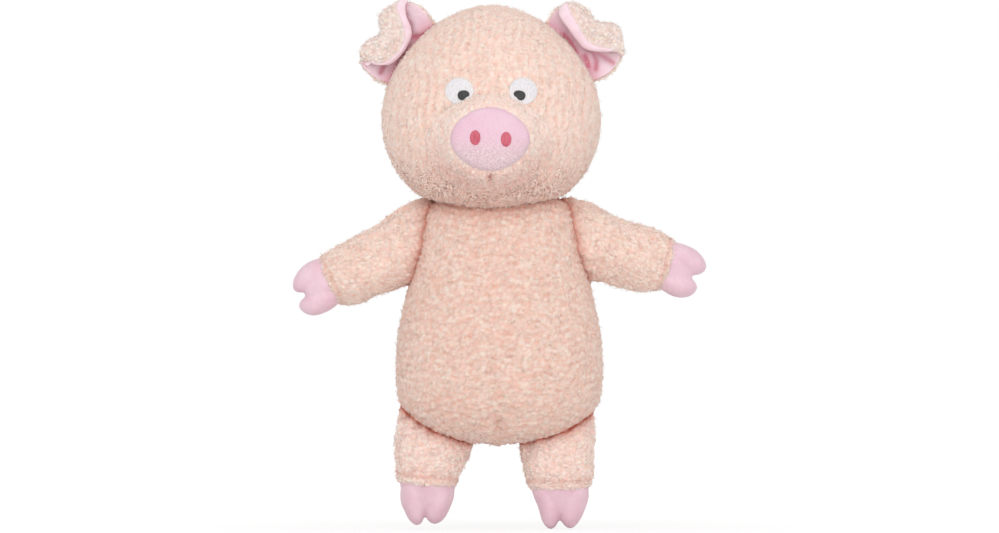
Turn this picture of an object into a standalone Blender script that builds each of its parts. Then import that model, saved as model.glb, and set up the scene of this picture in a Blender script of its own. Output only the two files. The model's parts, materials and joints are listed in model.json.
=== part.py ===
# Plush pig: a stuffed toy of knitted pile fabric, with pink velour hooves, snout and ear linings.
# Lengths are in metres and angles in degrees. +Z is up and the pig faces -Y, so its left is +X.

import math

import bmesh
import bpy
from mathutils import Matrix, Vector

# Fabric, seams and clearances
pile_wall = 0.0025            # knitted pile cover
velour_wall = 0.0016          # pink ear linings
fabric_gap = 0.0003           # between pieces that touch
filling_gap = 0.0006          # between a cover and the filling inside it
seam_radius = 0.003           # thickness of a limb's sewn root, as a radius
swing_gap = 0.0004            # room that a turning root keeps from what it is sewn to
cut_overrun = 0.03            # how far a cutter runs past what it cuts

# Body: half sizes, and rings as shares of height, half width and half depth
belly_height = 0.0545         # lowest point of the belly above the soles
body_height = 0.1545          # from there to the neck seam
body_half_width = 0.065
body_half_depth = 0.049
body_ring_shares = [
    (0.0, 0.11, 0.1), (0.02, 0.38, 0.36), (0.065, 0.68, 0.66), (0.15, 0.9, 0.88),
    (0.28, 1.0, 0.99), (0.45, 0.99, 1.0), (0.62, 0.91, 0.96), (0.78, 0.82, 0.9),
    (0.92, 0.76, 0.85), (1.0, 0.68, 0.78), (1.045, 0.38, 0.46),
]

# Head
head_shift = 0.0045           # the head sits a little to the pig's right
head_forward = 0.004
head_height = 0.125           # from the neck seam's level to the crown
head_half_width = 0.0692
head_half_depth = 0.059
head_ring_shares = [
    (-0.03, 0.2, 0.2), (0.005, 0.5, 0.5), (0.07, 0.7, 0.7), (0.17, 0.862, 0.865),
    (0.31, 0.975, 0.975), (0.47, 0.992, 1.0), (0.63, 0.92, 0.94), (0.78, 0.75, 0.78),
    (0.9, 0.52, 0.55), (0.975, 0.26, 0.28), (1.0, 0.08, 0.08),
]
head_turn = (-30, 30)

# Muzzle: the pile bulge that carries the snout, with rings as shares of depth and radius
muzzle_height_share = 0.323   # of the head's height
muzzle_half_width = 0.0262
muzzle_half_height = 0.023
muzzle_depth = 0.015          # how far it stands out from the face
muzzle_ring_shares = [
    (-1.1, 1.03), (-0.2, 1.05), (0.2, 1.04), (0.5, 0.99), (0.8, 0.86), (0.96, 0.6), (1.0, 0.25),
]

# Snout: an oval pad with a domed face, and its rings as shares of depth and radius
snout_half_width = 0.0253
snout_half_height = 0.0205
snout_depth = 0.017
snout_sink = 0.01             # how deep the pad's back lies inside the muzzle's front
snout_ring_shares = [
    (0.0, 0.8), (0.2, 0.97), (0.5, 1.0), (0.76, 0.94), (0.93, 0.72), (1.0, 0.36),
]
nostril_half_width = 0.0035
nostril_half_height = 0.0048
nostril_spread_share = 0.395  # of the snout's half width
nostril_rise_share = 0.02     # of its half height
nostril_thickness = 0.0012

# Eyes: white discs with darker pupils, placed as shares of the head's half width and height
eye_radius = 0.0087
eye_spread_share = 0.292
eye_height_share = 0.571
eye_thickness = 0.0014
pupil_half_width = 0.0038
pupil_half_height = 0.0032
pupil_inward_share = 0.27     # of the eye's radius
pupil_drop_share = 0.33
pupil_thickness = 0.0011

# Arms: sewn flat along a line down the body's side, whose ends are shares of the body's sizes
arm_length = 0.0775           # from the seam to the toe tips
arm_half_height = 0.0245
arm_half_depth = 0.0195
arm_seam_top_share = 0.958
arm_seam_bottom_share = 0.658
arm_seam_bulge = 0.0012       # how far the body bulges past the line between the seam's ends
arm_root_dish = 0.0004        # how far the root's ends curve towards the body
arm_seam_half_length = 0.0248
arm_droop = {"right": 24.5, "left": 14}
arm_ring_shares = [
    (-0.042, 0.96, 0.0, 0.0), (0.005, 0.99, 0.0, 0.01), (0.075, 1.0, 0.27, 0.04), (0.165, 0.99, 0.57, 0.08),
    (0.29, 0.94, 0.93, 0.1), (0.46, 0.86, 1.0, 0.09), (0.62, 0.75, 0.88, 0.05),
    (0.735, 0.67, 0.76, 0.0), (0.83, 0.6, 0.64, -0.02), (0.89, 0.42, 0.44, -0.02), (0.91, 0.16, 0.2, -0.02),
]
arm_hoof_share = 0.735        # where the hoof begins, of the arm's length
arm_toe_spread_share = 0.275  # of the arm's half height
arm_toe_length = 0.0235
arm_toe_half_width = 0.0076
arm_toe_half_depth = 0.0098
arm_swing = (-60, 60)

# Legs: sewn flat along a line under the belly
leg_half_width = 0.0247
leg_half_depth = 0.0195
leg_seam_outer_share = 0.14
leg_seam_inner_share = 0.009
leg_seam_bulge = 0.0062       # how far the belly bulges past the line between the seam's ends
leg_root_dish = 0.003
leg_seam_half_length = 0.0247
leg_splay = {"right": 6, "left": 1.5}
leg_ring_shares = [
    (-0.05, 0.98, 0.0, 0.0), (0.005, 1.0, 0.0, 0.0), (0.085, 1.01, 0.23, 0.0), (0.19, 1.0, 0.47, 0.0),
    (0.32, 0.99, 0.85, 0.0), (0.43, 0.93, 1.0, 0.0), (0.525, 0.84, 0.95, 0.0),
    (0.66, 0.76, 0.84, 0.0), (0.77, 0.64, 0.68, 0.0), (0.82, 0.44, 0.46, 0.0), (0.84, 0.18, 0.2, 0.0),
]
leg_hoof_share = 0.525
leg_toe_spread_share = 0.272  # of the leg's half width
leg_toe_length = 0.0255
leg_toe_half_width = 0.0076
leg_toe_half_depth = 0.0118
sole_cut = 0.0005             # how deep the toe tips are cut flat
leg_swing = (-35, 70)

# Ears: two layers sewn into the head's side seam and folded forward
ear_root_top_share = 0.9      # of the head's height
ear_root_bottom_share = 0.625
ear_root_bulge = 0.0034       # how far the head bulges past the line between the root's ends
ear_end_bulge = 0.0075        # how far the fold's middle stands out past its ends
ear_root_depth = 0.0029       # how far the root's edge lies past its hinge line
ear_root_pinch_share = 0.45   # of the thickness, where the layers are sewn together
ear_reach = 0.0175            # from the hinge line to where the fold begins
ear_fold_radius = 0.005
ear_flap = 0.0165             # how far the flap comes back towards the head
ear_half_width = 0.0255
ear_lift = 3                  # the ear leans up from square to its root
ear_layer_gap = 0.0005        # between the ear's two layers
ear_width_shares = [0.82, 0.9, 0.96, 1.0, 0.98, 0.95, 0.93, 0.91, 0.88, 0.81, 0.68, 0.47, 0.2]
ear_swing = (-45, 10)

# Tail: a curled tube at the back of the body
tail_height_share = 0.2
tail_root_radius = 0.0045
tail_tip_share = 0.6          # of the root's radius
tail_stem = 0.008
tail_start_share = 0.3        # the root's first ring, of its radius
tail_curl_radius = 0.007
tail_curl_turns = 1.2
tail_curl_pitch = 0.012       # along the curl's axis, for each turn
tail_points = 18
tail_swing = (-30, 30)

# Colours as linear values, with roughness
pile_colour = (0.83, 0.61, 0.51, 1.0)
pink_colour = (0.83, 0.55, 0.65, 1.0)
nostril_colour = (0.62, 0.15, 0.2, 1.0)
white_colour = (0.82, 0.8, 0.82, 1.0)
charcoal_colour = (0.045, 0.045, 0.045, 1.0)
stuffing_colour = (0.85, 0.85, 0.83, 1.0)
cloth_roughness = 0.9

# How finely the forms are drawn
body_sides = 12
core_sides = 8
limb_sides = 8
limb_core_sides = 6
smooth_levels = 1
cage_rounds = 12
ear_columns = 6
toe_segments = 12
toe_rings = 8
patch_sides = 20

back = Vector((0, 1, 0))
across = Vector((1, 0, 0))
up = Vector((0, 0, 1))
sides = {"right": -1, "left": 1}


# Scene, collections and materials
def clear_scene():
    for thing in list(bpy.data.objects):
        bpy.data.objects.remove(thing, do_unlink=True)


def new_collection(name):
    collection = bpy.data.collections.new(name)
    bpy.context.scene.collection.children.link(collection)
    return collection


def new_material(name, colour):
    material = bpy.data.materials.new(name)
    material.use_nodes = True
    shader = material.node_tree.nodes["Principled BSDF"]
    shader.inputs["Base Color"].default_value = colour
    shader.inputs["Roughness"].default_value = cloth_roughness
    shader.inputs["Metallic"].default_value = 0.0
    return material


clear_scene()
pig = new_collection("plush_pig")
cutters = new_collection("cutters")


# Objects and Booleans
def add_object(name, mesh, colour=None):
    thing = bpy.data.objects.new(name, mesh)
    if colour is None:
        cutters.objects.link(thing)
        thing.hide_render = True
        thing.display_type = "WIRE"
        return thing
    pig.objects.link(thing)
    mesh.materials.append(new_material(name, colour))
    mesh.shade_smooth()
    return thing


def boolean(thing, other, operation):
    modifier = thing.modifiers.new(operation.lower(), "BOOLEAN")
    modifier.operation = operation
    modifier.solver = "EXACT"
    modifier.object = other


def cut(thing, *others):
    for other in others:
        boolean(thing, other, "DIFFERENCE")


def join(thing, *others):
    for other in others:
        boolean(thing, other, "UNION")


def keep_inside(thing, other):
    boolean(thing, other, "INTERSECT")


# Soft forms: rings of a coarse cage, closed at both ends and smoothed
def ring(centre, half_across, half_other, dish=0.0):
    return {"centre": centre, "across": half_across, "other": half_other, "dish": dish}


# Rings moved out by a distance all round and at both ends, or in where it is negative
def grown(rings, by):
    first = rings[0]["centre"]
    length = (rings[-1]["centre"] - first).length
    along = (rings[-1]["centre"] - first) / length
    made = []
    for item in rings:
        share = (item["centre"] - first).dot(along) / length
        place = item["centre"] + along * by * (2 * share - 1)
        half_across = item["across"].normalized() * (item["across"].length + by)
        half_other = item["other"].normalized() * (item["other"].length + by)
        made.append(ring(place, half_across, half_other, item["dish"]))
    return made


# Cage rings whose smooth surface passes through the given ones
def cage_of(rings):
    cage = [dict(item) for item in rings]
    for _ in range(cage_rounds):
        for index in range(1, len(rings) - 1):
            for part in ("centre", "across", "other"):
                drawn = (cage[index - 1][part] + 4 * cage[index][part] + cage[index + 1][part]) / 6
                cage[index][part] = cage[index][part] + rings[index][part] - drawn
    return cage


def form(name, rings, ring_sides, colour=None):
    swell = 6 / (4 + 2 * math.cos(2 * math.pi / ring_sides))
    bm = bmesh.new()
    loops = []
    along = (rings[-1]["centre"] - rings[0]["centre"]).normalized()
    for item in cage_of(rings):
        loop = []
        for index in range(ring_sides):
            angle = 2 * math.pi * (index + 0.5) / ring_sides
            point = item["centre"] + item["across"] * math.cos(angle) * swell
            point += item["other"] * math.sin(angle) * swell
            point -= along * item["dish"] * math.cos(angle) ** 2
            loop.append(bm.verts.new(point))
        loops.append(loop)
    for lower, upper in zip(loops, loops[1:]):
        for index in range(ring_sides):
            following = (index + 1) % ring_sides
            bm.faces.new((lower[index], lower[following], upper[following], upper[index]))
    bm.faces.new(loops[0])
    bm.faces.new(loops[-1])
    bmesh.ops.recalc_face_normals(bm, faces=bm.faces)
    mesh = bpy.data.meshes.new(name)
    bm.to_mesh(mesh)
    bm.free()
    thing = add_object(name, mesh, colour)
    smooth = thing.modifiers.new("smooth", "SUBSURF")
    smooth.levels = smooth_levels
    smooth.render_levels = smooth_levels
    return thing


def ball(name, centre, half_sizes, turn):
    bm = bmesh.new()
    bmesh.ops.create_uvsphere(bm, u_segments=toe_segments, v_segments=toe_rings, radius=1)
    mesh = bpy.data.meshes.new(name)
    bm.to_mesh(mesh)
    bm.free()
    mesh.transform(Matrix.Translation(centre) @ turn @ Matrix.Diagonal((*half_sizes, 1)))
    return add_object(name, mesh)


def block(name, centre, half_sizes, turn=Matrix.Identity(4)):
    bm = bmesh.new()
    bmesh.ops.create_cube(bm, size=2)
    mesh = bpy.data.meshes.new(name)
    bm.to_mesh(mesh)
    bm.free()
    mesh.transform(Matrix.Translation(centre) @ turn @ Matrix.Diagonal((*half_sizes, 1)))
    return add_object(name, mesh)


# An oval bar that runs forward from its rear end, to cut a patch out of a curved layer
def oval_prism(name, rear, half_width, half_height, colour):
    bm = bmesh.new()
    bmesh.ops.create_cone(bm, cap_ends=True, segments=patch_sides, radius1=1, radius2=1, depth=2)
    mesh = bpy.data.meshes.new(name)
    bm.to_mesh(mesh)
    bm.free()
    turn = Matrix.Rotation(math.radians(90), 4, "X")
    size = Matrix.Diagonal((half_width, head_half_depth, half_height, 1))
    mesh.transform(Matrix.Translation(rear - back * head_half_depth) @ size @ turn)
    return add_object(name, mesh, colour)


# An empty whose own Z is a joint's axis, and the pieces that turn about it
def hang(name, place, axis, swing, *things):
    empty = bpy.data.objects.new(name, None)
    turn = up.rotation_difference(axis).to_matrix().to_4x4()
    empty.matrix_world = Matrix.Translation(place) @ turn
    empty["range_deg"] = swing
    pig.objects.link(empty)
    for thing in things:
        thing.parent = empty
        thing.data.transform(empty.matrix_world.inverted())


# The half width (column 1) or half depth (column 2) of a ring table at a height, as a share
def outline(shares, level, column):
    for lower, upper in zip(shares, shares[1:]):
        if lower[0] <= level <= upper[0]:
            part = (level - lower[0]) / (upper[0] - lower[0])
            return lower[column] + (upper[column] - lower[column]) * part


# Body
neck_level = belly_height + body_height


def upright_rings(shares, base, height, half_width, half_depth, x=0.0, y=0.0):
    made = []
    for level, wide, deep in shares:
        centre = Vector((x, y, base + height * level))
        made.append(ring(centre, across * half_width * wide, back * half_depth * deep))
    return made


body_rings = upright_rings(body_ring_shares, belly_height, body_height, body_half_width, body_half_depth)
cutter_reach = body_half_width + body_half_depth + cut_overrun


def body_pieces():
    above_neck = block(
        "above_neck_cutter", Vector((0, 0, neck_level - fabric_gap / 2 + cutter_reach)), [cutter_reach] * 3)
    cover = form("body_cover", body_rings, body_sides, pile_colour)
    hollow = form("body_hollow_cutter", grown(body_rings, -pile_wall), core_sides)
    cut(cover, above_neck, hollow)
    stuffing = form("body_stuffing", grown(body_rings, -pile_wall - filling_gap), core_sides, stuffing_colour)
    cut(stuffing, above_neck)


# Head
head_middle = Vector((-head_shift, -head_forward, neck_level))
head_rings = upright_rings(
    head_ring_shares, neck_level, head_height, head_half_width, head_half_depth, -head_shift, -head_forward)
face_centre = Vector((-head_shift, -head_forward - head_half_depth, neck_level + head_height * muzzle_height_share))
snout_base = face_centre - back * (muzzle_depth - snout_sink)


def forward_rings(shares, base, depth, half_width, half_height):
    made = []
    for level, radius in shares:
        centre = base - back * depth * level
        made.append(ring(centre, across * half_width * radius, up * half_height * radius))
    return made


muzzle_rings = forward_rings(muzzle_ring_shares, face_centre, muzzle_depth, muzzle_half_width, muzzle_half_height)
snout_rings = forward_rings(snout_ring_shares, snout_base, snout_depth, snout_half_width, snout_half_height)


# A stitched patch: an oval of the layer between two grown copies of what it lies on
def patch(name, rear, half_width, half_height, outer, inner, colour):
    piece = oval_prism(name, rear, half_width, half_height, colour)
    keep_inside(piece, outer)
    cut(piece, inner)
    return piece


def head_pieces():
    below_neck = block(
        "below_neck_cutter", Vector((0, 0, neck_level + fabric_gap / 2 - cutter_reach)), [cutter_reach] * 3)
    cover = form("head_cover", head_rings, body_sides, pile_colour)
    join(cover, form("muzzle_bulge_cutter", muzzle_rings, body_sides))
    hollow = form("head_hollow_cutter", grown(head_rings, -pile_wall), core_sides)
    cut(cover, below_neck, hollow)
    stuffing = form("head_stuffing", grown(head_rings, -pile_wall - filling_gap), core_sides, stuffing_colour)
    cut(stuffing, below_neck)

    muzzle_clearance = form("muzzle_clearance_cutter", grown(muzzle_rings, fabric_gap), body_sides)
    face_clearance = form("face_clearance_cutter", grown(head_rings, fabric_gap), body_sides)
    snout = form("snout", snout_rings, body_sides, pink_colour)
    cut(snout, muzzle_clearance, face_clearance)

    snout_clearance = form("snout_clearance_cutter", grown(snout_rings, fabric_gap), body_sides)
    snout_layer = form("nostril_layer_cutter", grown(snout_rings, fabric_gap + nostril_thickness), body_sides)
    eye_layer = form("eye_layer_cutter", grown(head_rings, fabric_gap + eye_thickness), body_sides)
    pupil_base = form("pupil_base_cutter", grown(head_rings, 2 * fabric_gap + eye_thickness), body_sides)
    pupil_growth = 2 * fabric_gap + eye_thickness + pupil_thickness
    pupil_layer = form("pupil_layer_cutter", grown(head_rings, pupil_growth), body_sides)

    turning = [cover, stuffing, snout]
    for side, sign in sides.items():
        nostril_rear = snout_base - back * snout_depth / 2 + up * snout_half_height * nostril_rise_share
        nostril_rear += across * sign * snout_half_width * nostril_spread_share
        nostril = patch(
            f"{side}_nostril", nostril_rear,
            nostril_half_width, nostril_half_height, snout_layer, snout_clearance, nostril_colour)
        eye = Vector((
            head_middle.x + sign * head_half_width * eye_spread_share,
            head_middle.y,
            neck_level + head_height * eye_height_share))
        white = patch(f"{side}_eye_white", eye, eye_radius, eye_radius, eye_layer, face_clearance, white_colour)
        cut(white, muzzle_clearance)
        pupil_place = eye - across * sign * eye_radius * pupil_inward_share - up * eye_radius * pupil_drop_share
        pupil = patch(
            f"{side}_pupil", pupil_place, pupil_half_width, pupil_half_height,
            pupil_layer, pupil_base, charcoal_colour)
        cut(pupil, muzzle_clearance)
        turning += [nostril, white, pupil]
    hang("neck_joint", head_middle, up, head_turn, *turning)


# Limbs
# A place on the body's side outline, at a share of its height
def on_body(level, sign):
    x = sign * body_half_width * outline(body_ring_shares, level, 1)
    return Vector((x, 0, belly_height + body_height * level))


# Rings from a flat sewn root to the rounded end, turned step by step from seam to limb
def limb_rings(seam, outward, shares, length, half_wide, half_deep, seam_half_length, root_dish):
    square = Vector((-outward.z, 0, outward.x))
    if square.dot(seam["along"]) < 0:
        square = -square
    made = []
    for along, wide, deep, rise in shares:
        turned = min(1.0, max(0.0, along) / shares[4][0])
        direction = seam["along"].lerp(square, turned).normalized()
        half_across = half_wide * wide * turned + seam_half_length * wide * (1 - turned)
        half_other = max(seam_radius, half_deep * deep)
        way = seam["square"].lerp(outward, turned).normalized()
        centre = seam["centre"] + way * length * along + direction * half_wide * rise
        dish = root_dish * min(1.0, max(0.0, 1 - along / shares[3][0]))
        made.append(ring(centre, direction * half_across, back * half_other, dish))
    return made


# Sleeve, stuffing and two-toed hoof of one limb, on the empty that lies on its seam
def limb(name, seam, outward, toe_direction, rings, swing, values):
    turn = up.rotation_difference(outward).to_matrix().to_4x4()
    border = seam["centre"] + outward * values["length"] * values["hoof_share"]
    past = block(f"{name}_past_hoof_line_cutter", border + outward * (cutter_reach - fabric_gap / 2),
                 [cutter_reach] * 3, turn)
    before = block(f"{name}_before_hoof_line_cutter", border - outward * (cutter_reach - fabric_gap / 2),
                   [cutter_reach] * 3, turn)
    hollow = form(f"{name}_hollow_cutter", grown(rings[2:], -pile_wall), limb_core_sides)
    sleeve = form(f"{name}_sleeve", rings, limb_sides, pile_colour)
    cut(sleeve, past, hollow)
    stuffing = form(f"{name}_stuffing", grown(rings[2:], -pile_wall - filling_gap), limb_core_sides, stuffing_colour)

    hoof = form(f"{name}_hoof", rings[4:], limb_sides, pink_colour)
    tip = seam["centre"] + outward * values["length"]
    beside = Vector((-toe_direction.z, 0, toe_direction.x))
    toe_turn = up.rotation_difference(toe_direction).to_matrix().to_4x4()
    toes = []
    for toe_name, sign in {"first": -1, "second": 1}.items():
        toe_centre = tip - toe_direction * values["toe_length"] / 2 + beside * sign * values["toe_spread"]
        half_sizes = (values["toe_half_width"], values["toe_half_depth"], values["toe_length"] / 2)
        toes.append(ball(f"{name}_{toe_name}_toe_cutter", toe_centre, half_sizes, toe_turn))
    join(hoof, *toes)
    cut(hoof, before, hollow)
    hang(f"{name}_joint", seam["centre"], seam["axis"], swing, sleeve, stuffing, hoof)
    return hoof


# The hinge line of a flat seam, set off the surface by the root's own thickness
def seam_between(first, second, away, bulge):
    along = (second - first).normalized()
    square = Vector((-along.z, 0, along.x))
    if square.dot(away) < 0:
        square = -square
    centre = (first + second) / 2 + square * (bulge + seam_radius + swing_gap)
    axis = along if along.cross(square).dot(back) < 0 else -along
    return {"centre": centre, "along": along, "square": square, "axis": axis}


def arms():
    for side, sign in sides.items():
        droop = math.radians(arm_droop[side])
        outward = Vector((sign * math.cos(droop), 0, -math.sin(droop)))
        top = on_body(arm_seam_top_share, sign)
        bottom = on_body(arm_seam_bottom_share, sign)
        seam = seam_between(bottom, top, across * sign, arm_seam_bulge)
        rings = limb_rings(
            seam, outward, arm_ring_shares, arm_length, arm_half_height, arm_half_depth,
            arm_seam_half_length, arm_root_dish)
        values = {
            "length": arm_length, "hoof_share": arm_hoof_share, "toe_length": arm_toe_length,
            "toe_spread": arm_half_height * arm_toe_spread_share,
            "toe_half_width": arm_toe_half_width, "toe_half_depth": arm_toe_half_depth,
        }
        limb(f"{side}_arm", seam, outward, outward, rings, arm_swing, values)


def legs():
    floor = block("floor_cutter", Vector((0, 0, -cutter_reach)), [cutter_reach] * 3)
    for side, sign in sides.items():
        splay = math.radians(leg_splay[side])
        outward = Vector((sign * math.sin(splay), 0, -math.cos(splay)))
        outer = on_body(leg_seam_outer_share, sign)
        inner = on_body(leg_seam_inner_share, sign)
        seam = seam_between(inner, outer, -up, leg_seam_bulge)
        length = (seam["centre"].z + sole_cut) / math.cos(splay)
        rings = limb_rings(
            seam, outward, leg_ring_shares, length, leg_half_width, leg_half_depth,
            leg_seam_half_length, leg_root_dish)
        values = {
            "length": length, "hoof_share": leg_hoof_share, "toe_length": leg_toe_length,
            "toe_spread": leg_half_width * leg_toe_spread_share,
            "toe_half_width": leg_toe_half_width, "toe_half_depth": leg_toe_half_depth,
        }
        hoof = limb(f"{side}_leg", seam, outward, -up, rings, leg_swing, values)
        cut(hoof, floor)


# Ears
# Places along the folded ear, out from the root, round the fold and back, as (out, forward)
def ear_path(offset):
    places = []
    steps = len(ear_width_shares) - 1
    arc = math.pi * ear_fold_radius
    whole = ear_root_depth + ear_reach + arc + ear_flap
    for step in range(steps + 1):
        run = whole * step / steps - ear_root_depth
        if run <= ear_reach:
            out, forward, angle = run, 0.0, 0.0
        elif run <= ear_reach + arc:
            angle = (run - ear_reach) / ear_fold_radius
            out = ear_reach + ear_fold_radius * math.sin(angle)
            forward = ear_fold_radius * (1 - math.cos(angle))
        else:
            angle = math.pi
            out = ear_reach - (run - ear_reach - arc)
            forward = 2 * ear_fold_radius
        off_middle = offset * (ear_root_pinch_share if step == 0 else 1)
        places.append((out + math.sin(angle) * off_middle, forward - math.cos(angle) * off_middle))
    return places


def ear_layer(name, seam, outward, offset, thickness, colour):
    bm = bmesh.new()
    rows = []
    steps_out = len(ear_width_shares) / 2
    for step, (out, forward) in enumerate(ear_path(offset)):
        row = []
        share = ear_width_shares[step]
        for column in range(ear_columns + 1):
            place = 2 * column / ear_columns - 1
            point = seam["centre"] + seam["along"] * ear_half_width * share * place
            bulge = ear_root_bulge + (ear_end_bulge - ear_root_bulge) * min(1.0, step / steps_out)
            point += outward * (out - bulge * (share * place) ** 2) - back * forward
            row.append(bm.verts.new(point))
        rows.append(row)
    for lower, upper in zip(rows, rows[1:]):
        for column in range(ear_columns):
            bm.faces.new((lower[column], lower[column + 1], upper[column + 1], upper[column]))
    mesh = bpy.data.meshes.new(name)
    bm.to_mesh(mesh)
    bm.free()
    layer = add_object(name, mesh, colour)
    group = layer.vertex_groups.new(name="thickness")
    group.add(range(len(mesh.vertices)), 1, "REPLACE")
    group.add(range(ear_columns + 1), ear_root_pinch_share, "REPLACE")
    solid = layer.modifiers.new("thickness", "SOLIDIFY")
    solid.thickness = thickness
    solid.offset = 0.0
    solid.vertex_group = group.name
    return layer


def ears():
    for side, sign in sides.items():
        corners = []
        for level in (ear_root_bottom_share, ear_root_top_share):
            x = head_middle.x + sign * head_half_width * outline(head_ring_shares, level, 1)
            corners.append(Vector((x, -head_forward, neck_level + head_height * level)))
        seam = seam_between(*corners, across * sign, ear_root_bulge)
        lean = Matrix.Rotation(math.radians(-sign * ear_lift), 3, "Y")
        outward = lean @ seam["square"]
        back_panel = ear_layer(
            f"{side}_ear_back", seam, outward, (pile_wall + ear_layer_gap) / 2, pile_wall, pile_colour)
        lining = ear_layer(
            f"{side}_ear_lining", seam, outward, -(velour_wall + ear_layer_gap) / 2, velour_wall, pink_colour)
        hang(f"{side}_ear_joint", seam["centre"], seam["axis"], ear_swing, back_panel, lining)


# Tail
def tail():
    depth = body_half_depth * outline(body_ring_shares, tail_height_share, 2)
    root = Vector((0, depth + tail_root_radius + swing_gap, belly_height + body_height * tail_height_share))
    curve = bpy.data.curves.new("tail_line", "CURVE")
    curve.dimensions = "3D"
    curve.bevel_depth = tail_root_radius
    curve.bevel_resolution = 2
    curve.use_fill_caps = True
    spline = curve.splines.new("POLY")
    spline.points.add(tail_points - 1)
    start = Vector((0, tail_root_radius * (tail_start_share - 1), 0))
    spline.points[0].co = (*start, 1)
    spline.points[0].radius = tail_start_share
    for index in range(1, tail_points):
        share = (index - 1) / (tail_points - 2)
        angle = 2 * math.pi * tail_curl_turns * share
        place = Vector((
            tail_curl_radius * math.sin(angle),
            tail_stem * min(1.0, share * tail_points) + tail_curl_pitch * angle / (2 * math.pi),
            tail_curl_radius * (1 - math.cos(angle)),
        ))
        spline.points[index].co = (*place, 1)
        spline.points[index].radius = 1 - (1 - tail_tip_share) * share
    line = bpy.data.objects.new("tail_line", curve)
    cutters.objects.link(line)
    bpy.context.view_layer.update()
    mesh = bpy.data.meshes.new_from_object(line.evaluated_get(bpy.context.evaluated_depsgraph_get()))
    bpy.data.objects.remove(line, do_unlink=True)
    bm = bmesh.new()
    bm.from_mesh(mesh)
    bmesh.ops.remove_doubles(bm, verts=bm.verts, dist=fabric_gap / 10)
    bm.to_mesh(mesh)
    bm.free()
    mesh.name = "tail"
    mesh.transform(Matrix.Translation(root))
    piece = add_object("tail", mesh, pink_colour)
    hang("tail_joint", root, across, tail_swing, piece)


# Moves the whole pig so that it stands on the origin, halfway across its width and depth
def centre_on_origin():
    bpy.context.view_layer.update()
    graph = bpy.context.evaluated_depsgraph_get()
    corners = []
    for thing in pig.objects:
        if thing.type == "MESH":
            seen = thing.evaluated_get(graph)
            corners += [seen.matrix_world @ point.co for point in seen.data.vertices]
    low = Vector(min(corner[axis] for corner in corners) for axis in range(3))
    high = Vector(max(corner[axis] for corner in corners) for axis in range(3))
    middle = (low + high) / 2
    shift = Vector((-middle.x, -middle.y, 0))
    for thing in list(pig.objects) + list(cutters.objects):
        if thing.parent is None:
            thing.location += shift
    bpy.context.view_layer.update()
    print("moved by", [round(value, 5) for value in shift], "size", [round(value, 5) for value in high - low])
    for thing in pig.objects:
        if thing.type == "EMPTY":
            axis = thing.matrix_world.to_3x3() @ up
            place = thing.matrix_world.translation
            print(thing.name, [round(value, 5) for value in place], [round(value, 5) for value in axis])


body_pieces()
head_pieces()
arms()
legs()
ears()
tail()
centre_on_origin()
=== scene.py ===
import json
import math

import bpy
import numpy as np
from mathutils import Matrix, Vector
from mathutils.bvhtree import BVHTree


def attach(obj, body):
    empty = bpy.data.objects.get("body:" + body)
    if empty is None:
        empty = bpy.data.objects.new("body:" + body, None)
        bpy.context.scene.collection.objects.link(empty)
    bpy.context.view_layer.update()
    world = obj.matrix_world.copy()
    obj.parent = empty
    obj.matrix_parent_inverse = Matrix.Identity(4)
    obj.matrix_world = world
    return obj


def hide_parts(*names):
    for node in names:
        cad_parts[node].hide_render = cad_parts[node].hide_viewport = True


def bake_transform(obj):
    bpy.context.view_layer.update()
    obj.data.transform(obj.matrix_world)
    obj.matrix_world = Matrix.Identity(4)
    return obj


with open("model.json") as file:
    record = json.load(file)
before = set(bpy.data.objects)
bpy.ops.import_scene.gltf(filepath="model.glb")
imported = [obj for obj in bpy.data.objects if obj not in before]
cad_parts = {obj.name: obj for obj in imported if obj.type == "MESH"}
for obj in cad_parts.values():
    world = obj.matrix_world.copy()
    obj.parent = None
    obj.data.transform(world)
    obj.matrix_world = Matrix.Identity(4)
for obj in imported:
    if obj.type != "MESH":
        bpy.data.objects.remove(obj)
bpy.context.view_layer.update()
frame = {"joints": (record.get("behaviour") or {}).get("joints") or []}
mm = 0.001
joints = {joint["name"]: joint for joint in frame["joints"]}
neck = Vector(joints["neck_joint"]["pos_m"])
bodyMiddle = Vector((neck.x + 4.5 * mm, neck.y + 4 * mm, 0))
print("frame loaded")


# ---- colours and materials

def hexColour(text):
    parts = [int(text[i:i + 2], 16) / 255 for i in (1, 3, 5)]
    return tuple(p / 12.92 if p <= 0.04045 else ((p + 0.055) / 1.055) ** 2.4 for p in parts) + (1.0,)


def newMaterial(name):
    material = bpy.data.materials.new(name)
    material.use_nodes = True
    tree = material.node_tree
    return material, tree, tree.nodes["Principled BSDF"]


# One node, its settings and what its sockets are linked to or set to
def addNode(tree, kind, inputs=None, **settings):
    node = tree.nodes.new(kind)
    for key, value in settings.items():
        setattr(node, key, value)
    for key, value in (inputs or {}).items():
        if isinstance(value, bpy.types.NodeSocket):
            tree.links.new(value, node.inputs[key])
        else:
            node.inputs[key].default_value = value
    return node


def setRamp(node, stops):
    ramp = node.color_ramp
    while len(ramp.elements) < len(stops):
        ramp.elements.new(0.5)
    for element, (place, colour) in zip(ramp.elements, stops):
        element.position = place
        element.color = hexColour(colour) if isinstance(colour, str) else (colour, colour, colour, 1)


# Curly polyester pile, knitted: cream and peach yarns mixed; darker and pinker down between the curls, partly the
# peach ground yarn and partly painted shade, and a reddish brown painted shade in seams, creases and hollows
pileLook = {
    "roots": "#e9a78f", "sides": "#e9c3b3", "curls": "#ecd0c3", "tips": "#f0dbcf",
    "creamYarn": "#f3e6d9", "peachYarn": "#e8b7a7", "paintedShade": "#c25c40",
    "fibreSize": 0.45 * mm, "fleckSize": 5 * mm, "yarnMix": 0.8,
}
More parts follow.
